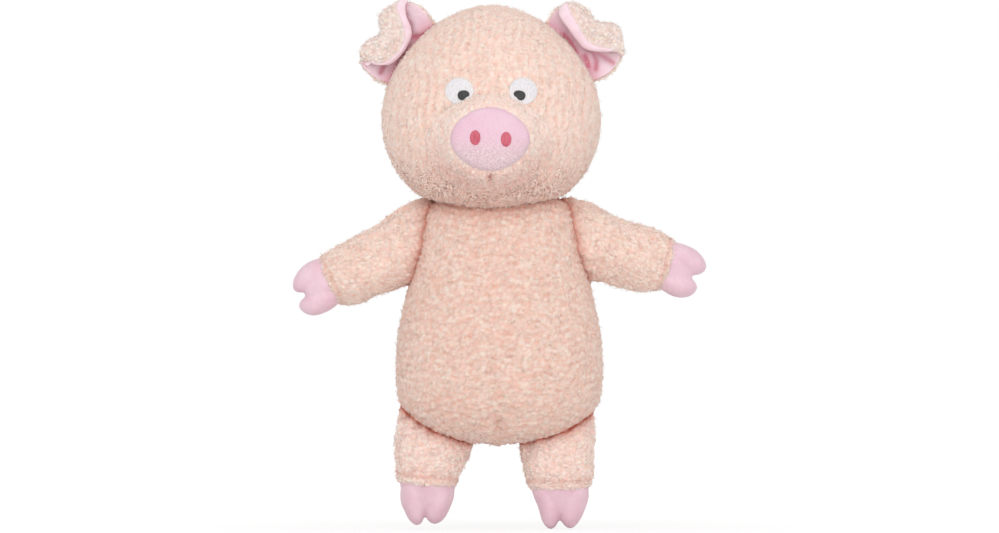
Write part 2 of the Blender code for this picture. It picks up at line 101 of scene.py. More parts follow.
# The head's and arms' pile is a little paler, the muzzle's and legs' paler still, and the ears' is greyer
headPileLook = {**pileLook, "roots": "#eab39c", "sides": "#eecdbf", "curls": "#f1d9cd", "tips": "#f5e2d7",
                "yarnMix": 0.65}
palePileLook = {**headPileLook, "roots": "#eec2b3", "sides": "#f5d6ca", "curls": "#f9e1d7", "tips": "#fceae2"}
earPileLook = {**pileLook, "roots": "#e8c2ae", "sides": "#edd6ce", "curls": "#f2e1da", "tips": "#f7ebe6",
               "peachYarn": "#ebc8b7"}


def pileMaterial(name, look, loose=False):
    material, tree, shader = newMaterial(name)
    grown = addNode(tree, "ShaderNodeAttribute", attribute_name="pile")
    parts = addNode(tree, "ShaderNodeSeparateColor", {"Color": grown.outputs["Color"]})
    # Colour by curl height: darker and pinker at the roots, partly the peach ground yarn and partly painted shade,
    # lighter at the tips
    depth = addNode(tree, "ShaderNodeValToRGB", {"Fac": parts.outputs["Red"]})
    setRamp(depth, [(0.0, look["roots"]), (0.3, look["sides"]), (0.62, look["curls"]), (1.0, look["tips"])])
    creamAmount = addNode(tree, "ShaderNodeValToRGB", {"Fac": parts.outputs["Green"]})
    mixed = look["yarnMix"]
    setRamp(creamAmount, [(0.0, 0.0), (0.6, 0.0), (0.82, 0.35 * mixed), (1.0, 0.6 * mixed)])
    cream = addNode(tree, "ShaderNodeMix", {0: creamAmount.outputs["Color"], 6: depth.outputs["Color"],
                                            7: hexColour(look["creamYarn"])}, data_type="RGBA")
    peachAmount = addNode(tree, "ShaderNodeValToRGB", {"Fac": parts.outputs["Green"]})
    setRamp(peachAmount, [(0.0, 0.5 * mixed), (0.12, 0.35 * mixed), (0.32, 0.0), (1.0, 0.0)])
    peach = addNode(tree, "ShaderNodeMix", {0: peachAmount.outputs["Color"], 6: cream.outputs[2],
                                            7: hexColour(look["peachYarn"])}, data_type="RGBA")
    place = addNode(tree, "ShaderNodeTexCoord")
    patches = addNode(tree, "ShaderNodeTexNoise", {"Vector": place.outputs["Object"], "Scale": 1 / look["fleckSize"],
                                                   "Detail": 3.0, "Roughness": 0.6})
    low, high = (1.04, 1.12) if loose else (0.95, 1.04)      # loose fibres catch more light
    patchAmount = addNode(tree, "ShaderNodeMapRange", {0: patches.outputs["Fac"], 1: 0.35, 2: 0.7, 3: low, 4: high})
    varied = addNode(tree, "ShaderNodeVectorMath", {0: peach.outputs[2], 1: patchAmount.outputs[0]},
                     operation="MULTIPLY")
    # Painted shade: the blue channel mixes in a reddish brown in seams, creases and hollows
    seam = addNode(tree, "ShaderNodeMix", {0: parts.outputs["Blue"], 6: varied.outputs[0],
                                           7: hexColour(look["paintedShade"])}, data_type="RGBA")
    fibres = addNode(tree, "ShaderNodeTexNoise", {"Vector": place.outputs["Object"], "Scale": 1 / look["fibreSize"],
                                                  "Detail": 2.0, "Distortion": 1.5})
    bump = addNode(tree, "ShaderNodeBump", {"Height": fibres.outputs["Fac"], "Strength": 0.6, "Distance": 0.25 * mm})
    tree.links.new(seam.outputs[2], shader.inputs["Base Color"])
    tree.links.new(bump.outputs["Normal"], shader.inputs["Normal"])
    shader.inputs["Roughness"].default_value = 0.95
    shader.inputs["Specular IOR Level"].default_value = 0.1
    shader.inputs["Sheen Weight"].default_value = 0.15
    shader.inputs["Sheen Roughness"].default_value = 0.6
    if not loose:
        shader.inputs["Subsurface Weight"].default_value = 0.5      # light passes through the thick pile
        shader.inputs["Subsurface Radius"].default_value = (1.0, 0.55, 0.42)
        shader.inputs["Subsurface Scale"].default_value = 2.2 * mm
    return material


# Short-pile polyester velour: smooth to the eye, with a pale bloom at the edges and fine specks
def velourMaterial(name, colour, shade, foldShade, speck=0.5 * mm, speckDepth=0.05):
    material, tree, shader = newMaterial(name)
    place = addNode(tree, "ShaderNodeTexCoord")
    foldShading = addNode(tree, "ShaderNodeAttribute", attribute_name="foldShade")
    foldParts = addNode(tree, "ShaderNodeSeparateColor", {"Color": foldShading.outputs["Color"]})
    nap = addNode(tree, "ShaderNodeTexNoise", {"Vector": place.outputs["Object"], "Scale": 1 / (9 * mm),
                                               "Detail": 2.0})
    napAmount = addNode(tree, "ShaderNodeMapRange", {0: nap.outputs["Fac"], 1: 0.3, 2: 0.7})
    base = addNode(tree, "ShaderNodeMix", {0: napAmount.outputs[0], 6: hexColour(shade), 7: hexColour(colour)},
                   data_type="RGBA")
    specks = addNode(tree, "ShaderNodeTexNoise", {"Vector": place.outputs["Object"], "Scale": 1 / speck,
                                                  "Detail": 2.0, "Roughness": 0.7})
    speckAmount = addNode(tree, "ShaderNodeMapRange", {0: specks.outputs["Fac"], 1: 0.35, 2: 0.65,
                                                       3: 1 - speckDepth, 4: 1 + speckDepth})
    varied = addNode(tree, "ShaderNodeVectorMath", {0: base.outputs[2], 1: speckAmount.outputs[0]},
                     operation="MULTIPLY")
    # Painted shade: the darker fold colour is mixed in by the attribute's first channel
    creased = addNode(tree, "ShaderNodeMix", {0: foldParts.outputs["Red"], 6: varied.outputs[0],
                                              7: hexColour(foldShade)}, data_type="RGBA")
    frost = addNode(tree, "ShaderNodeValToRGB", {"Fac": specks.outputs["Fac"]})
    setRamp(frost, [(0.0, "#b898a0"), (0.44, "#cdb0b6"), (0.56, "#e0cfcf"), (1.0, "#f0e6e4")])
    brushed = addNode(tree, "ShaderNodeMix", {0: foldParts.outputs["Green"], 6: creased.outputs[2],
                                              7: frost.outputs["Color"]}, data_type="RGBA")
    bump = addNode(tree, "ShaderNodeBump", {"Height": specks.outputs["Fac"], "Strength": 0.35,
                                            "Distance": 0.15 * mm})
    tree.links.new(brushed.outputs[2], shader.inputs["Base Color"])
    tree.links.new(bump.outputs["Normal"], shader.inputs["Normal"])
    shader.inputs["Roughness"].default_value = 0.9
    shader.inputs["Specular IOR Level"].default_value = 0.2
    shader.inputs["Sheen Weight"].default_value = 0.35
    shader.inputs["Sheen Roughness"].default_value = 0.45
    return material


# Rayon satin stitch: close parallel threads with a soft gloss along them
def satinMaterial(name, colour, gap, thread=0.4 * mm):
    material, tree, shader = newMaterial(name)
    place = addNode(tree, "ShaderNodeTexCoord")
    lie = addNode(tree, "ShaderNodeMapping", {"Vector": place.outputs["Object"],
                                              "Scale": (1 / thread, 1 / thread, 0.06 / thread)})
    threads = addNode(tree, "ShaderNodeTexNoise", {"Vector": lie.outputs["Vector"], "Scale": 1.0, "Detail": 1.0})
    share = addNode(tree, "ShaderNodeMapRange", {0: threads.outputs["Fac"], 1: 0.3, 2: 0.55})
    base = addNode(tree, "ShaderNodeMix", {0: share.outputs[0], 6: hexColour(gap), 7: hexColour(colour)},
                   data_type="RGBA")
    bump = addNode(tree, "ShaderNodeBump", {"Height": threads.outputs["Fac"], "Strength": 0.7,
                                            "Distance": 0.2 * mm})
    tree.links.new(base.outputs[2], shader.inputs["Base Color"])
    tree.links.new(bump.outputs["Normal"], shader.inputs["Normal"])
    shader.inputs["Roughness"].default_value = 0.5
    shader.inputs["Specular IOR Level"].default_value = 0.4
    return material


pile = pileMaterial("curlyPolyesterPile", pileLook)
headPile = pileMaterial("headPolyesterPile", headPileLook)
palePile = pileMaterial("palePolyesterPile", palePileLook)
earPileCloth = pileMaterial("earPolyesterPile", earPileLook)
looseYarn = {
    pile.name: pileMaterial("loosePolyesterYarn", pileLook, True),
    headPile.name: pileMaterial("headPolyesterYarn", headPileLook, True),
    palePile.name: pileMaterial("palePolyesterYarn", palePileLook, True),
    earPileCloth.name: pileMaterial("earPolyesterYarn", earPileLook, True),
}
hoofVelour = velourMaterial("pinkPolyesterVelour", "#eacbd6", "#e2bdca", "#d08da4")
earVelour = velourMaterial("earPolyesterVelour", "#f4dde6", "#edd0db", "#cf6f84")
snoutVelour = velourMaterial("snoutPolyesterVelour", "#e7c5d3", "#e3bdcc", "#cf8ea6", 0.9 * mm)
redSatin = satinMaterial("redRayonSatin", "#cd6475", "#b24559")
whiteSatin = satinMaterial("whiteRayonSatin", "#e7e4e6", "#cfccd2")
blackSatin = satinMaterial("charcoalRayonSatin", "#3c3d3c", "#222222")
print("materials made")


# ---- shaping tools

def deselectAll():
    if bpy.context.mode != "OBJECT":
        bpy.ops.object.mode_set(mode="OBJECT")
    bpy.ops.object.select_all(action="DESELECT")


def activate(piece):
    deselectAll()
    piece.select_set(True)
    bpy.context.view_layer.objects.active = piece


def applyModifier(piece, name, kind, **settings):
    activate(piece)
    modifier = piece.modifiers.new(name, kind)
    for key, value in settings.items():
        setattr(modifier, key, value)
    bpy.ops.object.modifier_apply(modifier=name)


def subdivide(piece, levels):
    applyModifier(piece, "smooth", "SUBSURF", levels=levels, render_levels=levels)
    piece.data.shade_smooth()


def pointsOf(piece, what="co"):
    values = np.empty(len(piece.data.vertices) * 3)
    piece.data.vertices.foreach_get(what, values)
    return values.reshape(-1, 3)


def setPoints(piece, points):
    piece.data.vertices.foreach_set("co", np.asarray(points, float).ravel())
    piece.data.update()


# A smooth curve through the rows of a table, in even steps of its length
def throughRows(rows, count):
    rows = np.array(rows, float)
    rows = np.vstack([2 * rows[:1] - rows[1:2], rows, 2 * rows[-1:] - rows[-2:-1]])
    dense = []
    for a, b, c, d in zip(rows, rows[1:], rows[2:], rows[3:]):
        for t in np.arange(0, 1, 1 / 24):
            dense.append(0.5 * (2 * b + (c - a) * t + (2 * a - 5 * b + 4 * c - d) * t ** 2
                                + (3 * b - a - 3 * c + d) * t ** 3))
    dense = np.array(dense + [rows[-2]])
    run = np.concatenate([[0], np.cumsum(np.linalg.norm(np.diff(dense, axis=0), axis=1))])
    even = np.linspace(0, run[-1], count)
    return np.stack([np.interp(even, run, dense[:, i]) for i in range(dense.shape[1])], axis=1)


# A closed form drawn out along +Z: rows of height, half width, half depth and sideways shift
def drawOut(name, sides, rows):
    deselectAll()
    bpy.ops.mesh.primitive_circle_add(vertices=sides, radius=1, fill_type="NGON")
    piece = bpy.context.object
    piece.name = name
    bpy.ops.object.mode_set(mode="EDIT")
    bpy.ops.mesh.select_all(action="SELECT")
    height, wide, deep, shift = rows[0]
    bpy.ops.transform.resize(value=(wide, deep, 1))
    bpy.ops.transform.translate(value=(shift, 0, height))
    for last, row in zip(rows, rows[1:]):
        step = (row[3] - last[3], 0, row[0] - last[0])
        bpy.ops.mesh.extrude_region_move(TRANSFORM_OT_translate={"value": step})
        bpy.ops.transform.resize(value=(row[1] / last[1], row[2] / last[2], 1),
                                 center_override=(row[3], 0, row[0]))
    bpy.ops.mesh.select_all(action="SELECT")
    bpy.ops.mesh.normals_make_consistent(inside=False)
    bpy.ops.object.mode_set(mode="OBJECT")
    return piece


def putInPlace(piece, matrix):
    piece.data.transform(matrix)
    if matrix.determinant() < 0:
        piece.data.flip_normals()
    piece.data.update()


# The filling pushes the cloth out between its sewn edges; a point moves no further than the cap
def stuff(piece, pinned, pressure, slack, cap):
    before = pointsOf(piece)
    group = piece.vertex_groups.new(name="sewn")
    group.add([int(i) for i in np.nonzero(pinned)[0]], 1, "REPLACE")
    activate(piece)
    cloth = piece.modifiers.new("filling", "CLOTH")
    cloth.settings.quality = 6
    cloth.settings.mass = 0.3
    cloth.settings.tension_stiffness = 12
    cloth.settings.compression_stiffness = 12
    cloth.settings.bending_stiffness = 0.4
    cloth.settings.use_pressure = True
    cloth.settings.uniform_pressure_force = pressure
    cloth.settings.shrink_min = -slack
    cloth.settings.vertex_group_mass = "sewn"
    cloth.settings.effector_weights.gravity = 0
    cloth.collision_settings.use_collision = False
    cloth.point_cache.frame_start = 1
    cloth.point_cache.frame_end = 20
    for number in range(1, 21):
        bpy.context.scene.frame_set(number)
    graph = bpy.context.evaluated_depsgraph_get()
    after = pointsOf(piece.evaluated_get(graph))
    piece.modifiers.remove(cloth)
    piece.vertex_groups.clear()
    bpy.context.scene.frame_set(1)
    move = after - before
    length = np.linalg.norm(move, axis=1, keepdims=True)
    move *= np.minimum(1, cap / np.maximum(length, 1e-9))
    setPoints(piece, before + move)
    print("stuffed", piece.name, round(float(length.max()) / mm, 1), "mm")


# ---- curly pile

def hashed(cells, seed):
    x, y, z = (cells[:, i].astype(np.int64) for i in range(3))
    value = ((x * 73856093) ^ (y * 19349663) ^ (z * 83492791) ^ (seed * 2654435761)) & 0xFFFFFFFF
    for _ in range(2):
        value = ((value ^ (value >> 16)) * 0x45D9F3B) & 0xFFFFFFFF
    return (value ^ (value >> 16)) / 0xFFFFFFFF


# Distance to the nearest and second nearest curl, in curl sizes, and a number for each curl
def curlsAt(points, size, seed):
    scaled = points / np.array(size)
    base = np.floor(scaled)
    first = np.full(len(points), 9.0)
    second = first.copy()
    number = np.zeros(len(points))
    for dx in (-1, 0, 1):
        for dy in (-1, 0, 1):
            for dz in (-1, 0, 1):
                cell = base + (dx, dy, dz)
                spot = cell + np.stack([hashed(cell, seed + i) for i in range(3)], axis=1)
                far = np.linalg.norm(spot - scaled, axis=1)
                nearer = far < first
                second = np.where(nearer, first, np.minimum(second, far))
                number = np.where(nearer, hashed(cell, seed + 3), number)
                first = np.minimum(first, far)
    return first, second, number


# Lifts the skin into curls, and keeps their height, yarn and painted shade of seams, creases and hollows in the
# "pile" attribute
def growPile(piece, height, size, seed, amount=None, shade=None, rows=0):
    points, normals = pointsOf(piece), pointsOf(piece, "normal")
    first, second, number = curlsAt(points, size, seed)
    puff = 0.6 * np.clip(1 - first / 0.85, 0, 1) + 0.4 * np.clip((second - first) * 2, 0, 1)
    fine, _, _ = curlsAt(points, np.array(size) * 0.45, seed + 11)
    fluff = np.clip(1 - fine / 0.9, 0, 1)
    amount = np.ones(len(points)) if amount is None else amount
    lift = height * amount * ((puff - 0.35) + 0.35 * (fluff - 0.4))
    setPoints(piece, points + normals * (lift + rows)[:, None])
    # The colour follows this height: lower is darker, partly painted shade between the curls and the knit rows
    level = np.clip(0.2 + 0.7 * puff + 0.3 * (fluff - 0.3) + rows * 300, 0, 1)
    shade = np.zeros(len(points)) if shade is None else shade
    values = np.stack([level, number, shade, np.ones(len(points))], axis=1)
    attribute = piece.data.attributes.new("pile", "FLOAT_COLOR", "POINT")
    attribute.data.foreach_set("color", values.astype(np.float32).ravel())


# Keeps how much painted shade of folds and seams, and how far brushed up, each point of a velour piece has
def addFold(piece, depth, brushed):
    values = np.stack([depth, brushed, 0 * depth, 0 * depth + 1], axis=1)
    attribute = piece.data.attributes.new("foldShade", "FLOAT_COLOR", "POINT")
    attribute.data.foreach_set("color", values.astype(np.float32).ravel())


def pileValues(piece):
    values = np.empty(len(piece.data.vertices) * 4, np.float32)
    piece.data.attributes["pile"].data.foreach_get("color", values)
    return values.reshape(-1, 4)


def treeOf(*pieces):
    points, faces = [], []
    for piece in pieces:
        start = len(points)
        points += [v.co[:] for v in piece.data.vertices]
        faces += [[start + i for i in p.vertices] for p in piece.data.polygons]
    return BVHTree.FromPolygons(points, faces)


# How close each point lies to another form, as a shade that fades over the reach
def closeTo(piece, tree, reach):
    shade = np.zeros(len(piece.data.vertices))
    for index, point in enumerate(pointsOf(piece)):
        found = tree.find_nearest(Vector(point), reach)
        if found[0] is not None:
            shade[index] = (1 - found[3] / reach) ** 2
    return shade


# Small shapes that are modelled once and copied over a skin: a yarn curl and a stray fibre
def bentTube(name, sides, segments, radius, bend, length):
    deselectAll()
    bpy.ops.mesh.primitive_cylinder_add(vertices=sides, radius=radius, depth=length, end_fill_type="NGON")
    piece = bpy.context.object
    piece.name = name
    bpy.ops.object.mode_set(mode="EDIT")
    bpy.ops.mesh.select_all(action="SELECT")
    for step in range(1, segments):
        place = (0, 0, length * (step / segments - 0.5))
        bpy.ops.mesh.bisect(plane_co=place, plane_no=(0, 0, 1))
        bpy.ops.mesh.select_all(action="SELECT")
    bpy.ops.object.mode_set(mode="OBJECT")
    points = pointsOf(piece)
    angle = points[:, 2] / length * bend
    turn = length / bend
    bent = points.copy()
    bent[:, 0] = (turn + points[:, 0]) * np.sin(angle)
    bent[:, 2] = (turn + points[:, 0]) * np.cos(angle)
    bent[:, 2] -= bent[:, 2].min()
    setPoints(piece, bent)
    shape = (bent, [list(p.vertices)[::-1] for p in piece.data.polygons])      # the bend mirrors the tube
    bpy.data.objects.remove(piece, do_unlink=True)
    return shape


yarnCurl = bentTube("yarnCurl", 4, 5, 0.36 * mm, math.radians(200), 3.4 * mm)
strayFibre = bentTube("strayFibre", 3, 2, 0.11 * mm, math.radians(70), 3.4 * mm)


def scatter(name, skin, shape, count, seed, sizes, lean, sink, weight=None):
    # each copy starts from a random face of the skin and leans a little from its normal
    rng = np.random.default_rng(seed)
    faces = skin.data.polygons
    centres, normals, areas = np.empty(len(faces) * 3), np.empty(len(faces) * 3), np.empty(len(faces))
    faces.foreach_get("center", centres)
    faces.foreach_get("normal", normals)
    faces.foreach_get("area", areas)
    centres, normals = centres.reshape(-1, 3), normals.reshape(-1, 3)
    if weight is not None:
        areas = areas * weight(centres)
    picks = rng.choice(len(faces), count, p=areas / areas.sum())
    up = normals[picks] + rng.normal(0, lean, (count, 3))
    up /= np.linalg.norm(up, axis=1, keepdims=True)
    side = np.cross(up, rng.normal(0, 1, (count, 3)))
    side /= np.linalg.norm(side, axis=1, keepdims=True)
    turn = np.stack([side, np.cross(up, side), up], axis=2) * rng.uniform(*sizes, count)[:, None, None]
    points, polygons = shape
    places = centres[picks] - normals[picks] * sink
    made = np.einsum("nij,vj->nvi", turn, points) + places[:, None, :]
    total = len(points)
    mesh = bpy.data.meshes.new(name)
    copied = [[i + copy * total for i in polygon] for copy in range(count) for polygon in polygons]
    mesh.from_pydata(made.reshape(-1, 3).tolist(), [], copied)
    piece = bpy.data.objects.new(name, mesh)
    bpy.context.scene.collection.objects.link(piece)
    mesh.shade_smooth()
    corners = np.empty(len(skin.data.loops), np.int32)
    skin.data.loops.foreach_get("vertex_index", corners)
    starts = np.empty(len(faces), np.int32)
    faces.foreach_get("loop_start", starts)
    # Painted shade: each copy is darker at its root and lighter at its tip, and takes the painted shade of the skin
    # beneath it
    under = pileValues(skin)[corners[starts[picks]]]
    level = 0.72 + 0.28 * points[:, 2] / points[:, 2].max()
    values = np.ones((count, total, 4), np.float32)
    values[:, :, 0] = level[None, :]
    values[:, :, 1] = rng.uniform(0, 1, count)[:, None]
    values[:, :, 2] = under[:, 2][:, None]
    attribute = mesh.attributes.new("pile", "FLOAT_COLOR", "POINT")
    attribute.data.foreach_set("color", values.ravel())
    mesh.materials.append(looseYarn[skin.data.materials[0].name])
    return piece


def finishSoft(piece, material):
    piece.data.materials.clear()
    piece.data.materials.append(material)
    piece.data.shade_smooth()


# ---- body

bodyLook = {
    "baseHeight": 54.5 * mm, "height": 154.5 * mm, "halfWidth": 65 * mm, "halfDepth": 49 * mm,
    "sides": 48, "rings": 34, "pileHeight": 1.25 * mm, "curlSize": (3.4 * mm, 3.0 * mm, 2.4 * mm),
    "rowPitch": 5.0 * mm, "rowHeight": 0.25 * mm, "curls": 1000, "fibres": 5600,
}
bodyShares = [
    (-0.004, 0.03, 0.03), (0.0, 0.11, 0.1), (0.02, 0.39, 0.36), (0.06, 0.68, 0.66), (0.1, 0.81, 0.78),
    (0.14, 0.905, 0.86), (0.175, 0.965, 0.92), (0.22, 0.99, 0.96), (0.3, 1.0, 0.99), (0.45, 0.985, 1.0),
    (0.62, 0.905, 0.96), (0.78, 0.83, 0.9), (0.92, 0.765, 0.81), (0.99, 0.7, 0.71), (1.03, 0.5, 0.55),
    (1.045, 0.2, 0.22), (1.046, 0.04, 0.04),
]


def uprightForm(name, look, shares, place):
    rows = [(z * look["height"], w * look["halfWidth"], d * look["halfDepth"], 0) for z, w, d in shares]
    piece = drawOut(name, look["sides"], throughRows(rows, look["rings"]).tolist())
    putInPlace(piece, Matrix.Translation(place))
    return piece


body = uprightForm("bodyPlush", bodyLook, bodyShares, bodyMiddle + Vector((0, 0, bodyLook["baseHeight"])))
bodyPoints = pointsOf(body)
stuff(body, (bodyPoints[:, 2] > 203 * mm) | (bodyPoints[:, 2] < 56 * mm), 3, 0.02, 2 * mm)
print("body shaped")


# ---- head and muzzle

headLook = {
    "height": 125 * mm, "halfWidth": 69.2 * mm, "halfDepth": 59 * mm,
    "sides": 48, "rings": 32, "pileHeight": 0.9 * mm, "curlSize": (2.4 * mm, 2.5 * mm, 3.1 * mm),
    "rowPitch": 5.6 * mm, "rowHeight": 0.3 * mm, "curls": 700, "fibres": 5600, "shift": -0.6 * mm,
}
headShares = [
    (-0.036, 0.03, 0.04), (-0.031, 0.16, 0.5), (-0.012, 0.39, 0.63), (0.03, 0.6, 0.73), (0.07, 0.71, 0.82),
    (0.17, 0.862, 0.92), (0.31, 0.972, 0.985), (0.47, 0.992, 1.0), (0.63, 0.92, 0.94), (0.78, 0.75, 0.78),
    (0.9, 0.52, 0.55), (0.975, 0.26, 0.28), (1.0, 0.08, 0.08), (1.003, 0.02, 0.02),
]
head = uprightForm("headPlush", headLook, headShares, neck + Vector((headLook["shift"], 0, 0)))
headPoints = pointsOf(head)
stuff(head, headPoints[:, 2] < neck.z + 2 * mm, 3, 0.02, 1.5 * mm)

muzzleLook = {
    "rise": 39.5 * mm, "shift": -0.7 * mm, "halfWidth": 28.3 * mm, "halfHeight": 25 * mm, "depth": 15 * mm,
    "sides": 36, "rings": 19, "pileHeight": 1.1 * mm, "curlSize": (2.5 * mm, 2.5 * mm, 2.9 * mm),
    "curls": 220, "fibres": 700,
}
muzzleShares = [
    (-1.35, 0.3), (-1.3, 1.1), (-1.15, 1.42), (-0.9, 1.48), (-0.6, 1.37), (-0.3, 1.25), (0.0, 1.15),
    (0.3, 1.07), (0.6, 1.0), (0.82, 0.93), (0.95, 0.84), (1.0, 0.65), (0.98, 0.3),
]
snoutLook = {"halfWidth": 25.2 * mm, "halfHeight": 20.7 * mm, "depth": 7.5 * mm, "sides": 48, "rings": 14}
snoutShares = [
    (-0.7, 0.5), (-0.5, 0.9), (-0.1, 1.0), (0.25, 0.99), (0.55, 0.93), (0.8, 0.76), (0.95, 0.48), (1.0, 0.15),
    (1.003, 0.03),
]
faceShift = headLook["shift"] + muzzleLook["shift"]
faceCentre = neck + Vector((faceShift, -headLook["halfDepth"], muzzleLook["rise"]))
lookForward = Matrix.Rotation(math.radians(90), 4, "X")


def forwardForm(name, look, shares, place):
    rows = [(d * look["depth"], r * look["halfWidth"], r * look["halfHeight"], 0) for d, r in shares]
    piece = drawOut(name, look["sides"], throughRows(rows, look["rings"]).tolist())
    putInPlace(piece, Matrix.Translation(place) @ lookForward)
    return piece


muzzle = forwardForm("muzzlePlush", muzzleLook, muzzleShares, faceCentre)
snout = forwardForm("snoutPad", snoutLook, snoutShares, faceCentre - Vector((0, 13.2 * mm, -0.2 * mm)))
snoutPoints = pointsOf(snout)      # the pad is cut a little narrower above and below its middle
height = (snoutPoints[:, 2] - faceCentre.z) / snoutLook["halfHeight"]
snoutPoints[:, 0] = faceCentre.x + (snoutPoints[:, 0] - faceCentre.x) * (1.02 - 0.13 * height ** 2)
setPoints(snout, snoutPoints)
print("head shaped")


# ---- limbs: sleeves drawn out from the seam, with hooves of two toes

# Rows of a sleeve: distance from the seam, half width, half depth and shift across, in mm
limbLook = {
    "right_arm": {"droop": 24.5, "swell": 1.2, "sleeve": [
        (-29, 15, 9, 4), (-25, 21.5, 14, 2.6), (-16, 24.4, 16.5, 1), (-8, 24.8, 17.5, 0.5), (1, 24.4, 18.2, 0.3),
        (9, 23, 18.8, 0.2),
        (20, 21.2, 18.8, 0.2), (34, 20, 19, 0.1), (45, 19.2, 18.2, 0.2), (51, 18.3, 16.8, 0.8),
        (54, 17.2, 15.8, 1.5), (56.4, 16.7, 15.4, 2), (58, 15.4, 14.2, 2.2), (58.6, 12, 11, 2.2)],
        "hoof": [(50, 8, 7, 2.2), (52, 14.8, 13.4, 2.2), (57, 15.6, 13.2, 1.9), (62, 14, 12.2, 1.5),
                 (68, 10, 10, 1), (72, 6, 7.4, 0.6), (74, 3, 3.6, 0.4)],
        "toes": [[(54, 10, 7.6, 11), (62, 10.3, 8.2, 12), (68.5, 9.6, 7.8, 11), (73, 8.6, 6.6, 9.5),
                  (76.6, 7.6, 4.8, 7), (78.6, 7, 2.6, 4), (79.4, 6.8, 0.9, 1.3)],
                 [(54, -5, 7.8, 11), (62, -6.8, 8.4, 12), (69, -7.4, 8, 11), (74, -7.6, 6.9, 9.5),
                  (78, -6.9, 5, 7), (80, -6.2, 2.8, 4), (80.9, -5.8, 0.9, 1.3)]]},
    "left_arm": {"droop": 14, "swell": 1.2, "sleeve": [
        (-27, 15, 9, 6.5), (-23, 21.5, 14, 5), (-15, 24.6, 16.5, 2.9), (-6, 24.8, 17.5, 2.7), (2, 23.8, 18.2, 2.6),
        (12, 22.4, 18.8, 2),
        (24, 21.6, 19, 1.4), (36, 21, 19, 1), (43, 19.6, 18, 1.1), (47.5, 18, 16.6, 1.3),
        (50.4, 16.9, 15.6, 1.5), (52.9, 16.4, 15.4, 1.5), (54.6, 15, 14.2, 1.4), (55.2, 12, 11, 1.4)],
        "hoof": [(46, 8, 7, 1.4), (48, 14.4, 13.4, 1.4), (54, 15.6, 13.2, 0.8), (59, 13.6, 12, 0),
                 (63.5, 9.5, 10, -1), (67, 6, 7.4, -1.6), (69, 3, 3.6, -2)],
        "toes": [[(50, 9, 7.6, 11), (58, 8.6, 8.2, 12), (65, 7.4, 8.4, 11.4), (69, 6.6, 7.8, 10),
                  (73, 5.8, 5.8, 8), (75.6, 5.4, 3.2, 5), (76.7, 5.4, 0.9, 1.3)],
                 [(50, -6.4, 7.8, 11), (58, -8.8, 8.2, 12), (64, -9.6, 7.8, 11.4), (69, -9.5, 6.4, 9.5),
                  (72, -9.4, 4.4, 6.6), (73.6, -9, 2.2, 3.4), (74.2, -8.8, 0.8, 1.2)]]},
    "right_leg": {"droop": 90 - 6, "swell": 0.8, "sleeve": [
        (-22, 17, 8, 4.5), (-18, 22.5, 10, 2.2), (-12, 24.6, 12.5, 0.8), (-4, 24.7, 15, 0.8), (6, 24, 17.6, 1.6),
        (14, 22.6, 18.8, 2.6), (20, 21.2, 18.8, 3.2), (24.2, 20, 17.4, 3.5), (27.2, 19.6, 17.6, 3.6),
        (29.4, 18.7, 17, 3.5), (30.6, 15, 14, 3.4)],
        "hoof": [(22, 9, 8, 3), (24.5, 17, 15.6, 3), (30, 18, 15.4, 2.8), (35, 16, 14, 2.6),
                 (41, 12, 11.6, 2.4), (45, 6.5, 8.6, 2.4), (47, 3, 4, 2.4)],
        "toes": [[(27, 10, 8, 12), (35, 11.1, 8.6, 13), (43, 10.6, 8, 12), (47.4, 9.3, 6.8, 10.5),
                  (51.6, 8.3, 5.3, 8.5), (54.6, 7.4, 3.3, 5.5), (56.2, 7.1, 0.9, 1.4)],
                 [(27, -5.4, 8.6, 12), (35, -6.2, 8.9, 13), (43, -5.3, 7.9, 12), (47.4, -4.6, 7.1, 10.5),
                  (50.8, -4.2, 5.5, 8.5), (53, -4, 3.3, 5.5), (54.2, -4, 0.9, 1.4)]]},
    "left_leg": {"droop": 90 - 1.5, "swell": 0.8, "sleeve": [
        (-22, 17, 8, -0.5), (-18, 22, 10, -2.5), (-12, 24, 12.5, -3.6), (-4, 24.2, 15, -3.5), (6, 24, 17.6, -3.2),
        (15, 23.2, 18.8, -2.8), (22, 22.2, 18.8, -2.4), (26.4, 20.9, 17.4, -2.3), (29.4, 20.3, 17.6, -2.2),
        (31.4, 19.2, 17, -2.2), (32.6, 15, 14, -2.3)],
        "hoof": [(24, 9, 8, -2.4), (26.5, 17.6, 15.6, -2.4), (31, 18.6, 15.4, -2.2), (36, 16.5, 14, -2.4),
                 (42, 12, 11.6, -2.6), (47, 6.5, 8.6, -2.7), (49, 3, 4, -2.7)],
        "toes": [[(29, -11.6, 8.6, 12), (36, -11, 8.2, 13), (42.7, -9.7, 6.9, 12), (49.6, -8.9, 6, 10.5),
                  (53.5, -8.7, 4.6, 8), (56, -8.6, 2.9, 5), (57.2, -8.6, 0.9, 1.3)],
                 [(29, 6.6, 9.2, 12), (36, 6.9, 9.6, 13), (41.4, 6.3, 9, 12), (49.6, 4.6, 7.2, 10.5),
                  (53.2, 4.1, 5.4, 8), (56, 3.9, 3.1, 5), (57.2, 3.9, 0.9, 1.3)]]},
}
limbPile = {"sides": 24, "rings": 17, "height": 1.2 * mm, "curlSize": (3.0 * mm, 3.0 * mm, 2.6 * mm),
            "curls": 180, "fibres": 1700}


# Local +Z runs out along the limb, local +X up on an arm and outward on a leg
def limbMatrix(name, look):
    seam = Vector(joints[name + "_joint"]["pos_m"])
    sign = 1 if name.startswith("left") else -1
    droop = math.radians(look["droop"])
    out = Vector((sign * math.cos(droop), 0, -math.sin(droop)))
    up = Vector((sign * math.sin(droop), 0, math.cos(droop)))
    if "leg" in name:
        up = Vector((sign, 0, 0)) - out * (sign * out.x)
        up.normalize()
    turn = Matrix((up, out.cross(up), out)).transposed().to_4x4()
    return Matrix.Translation(seam) @ turn


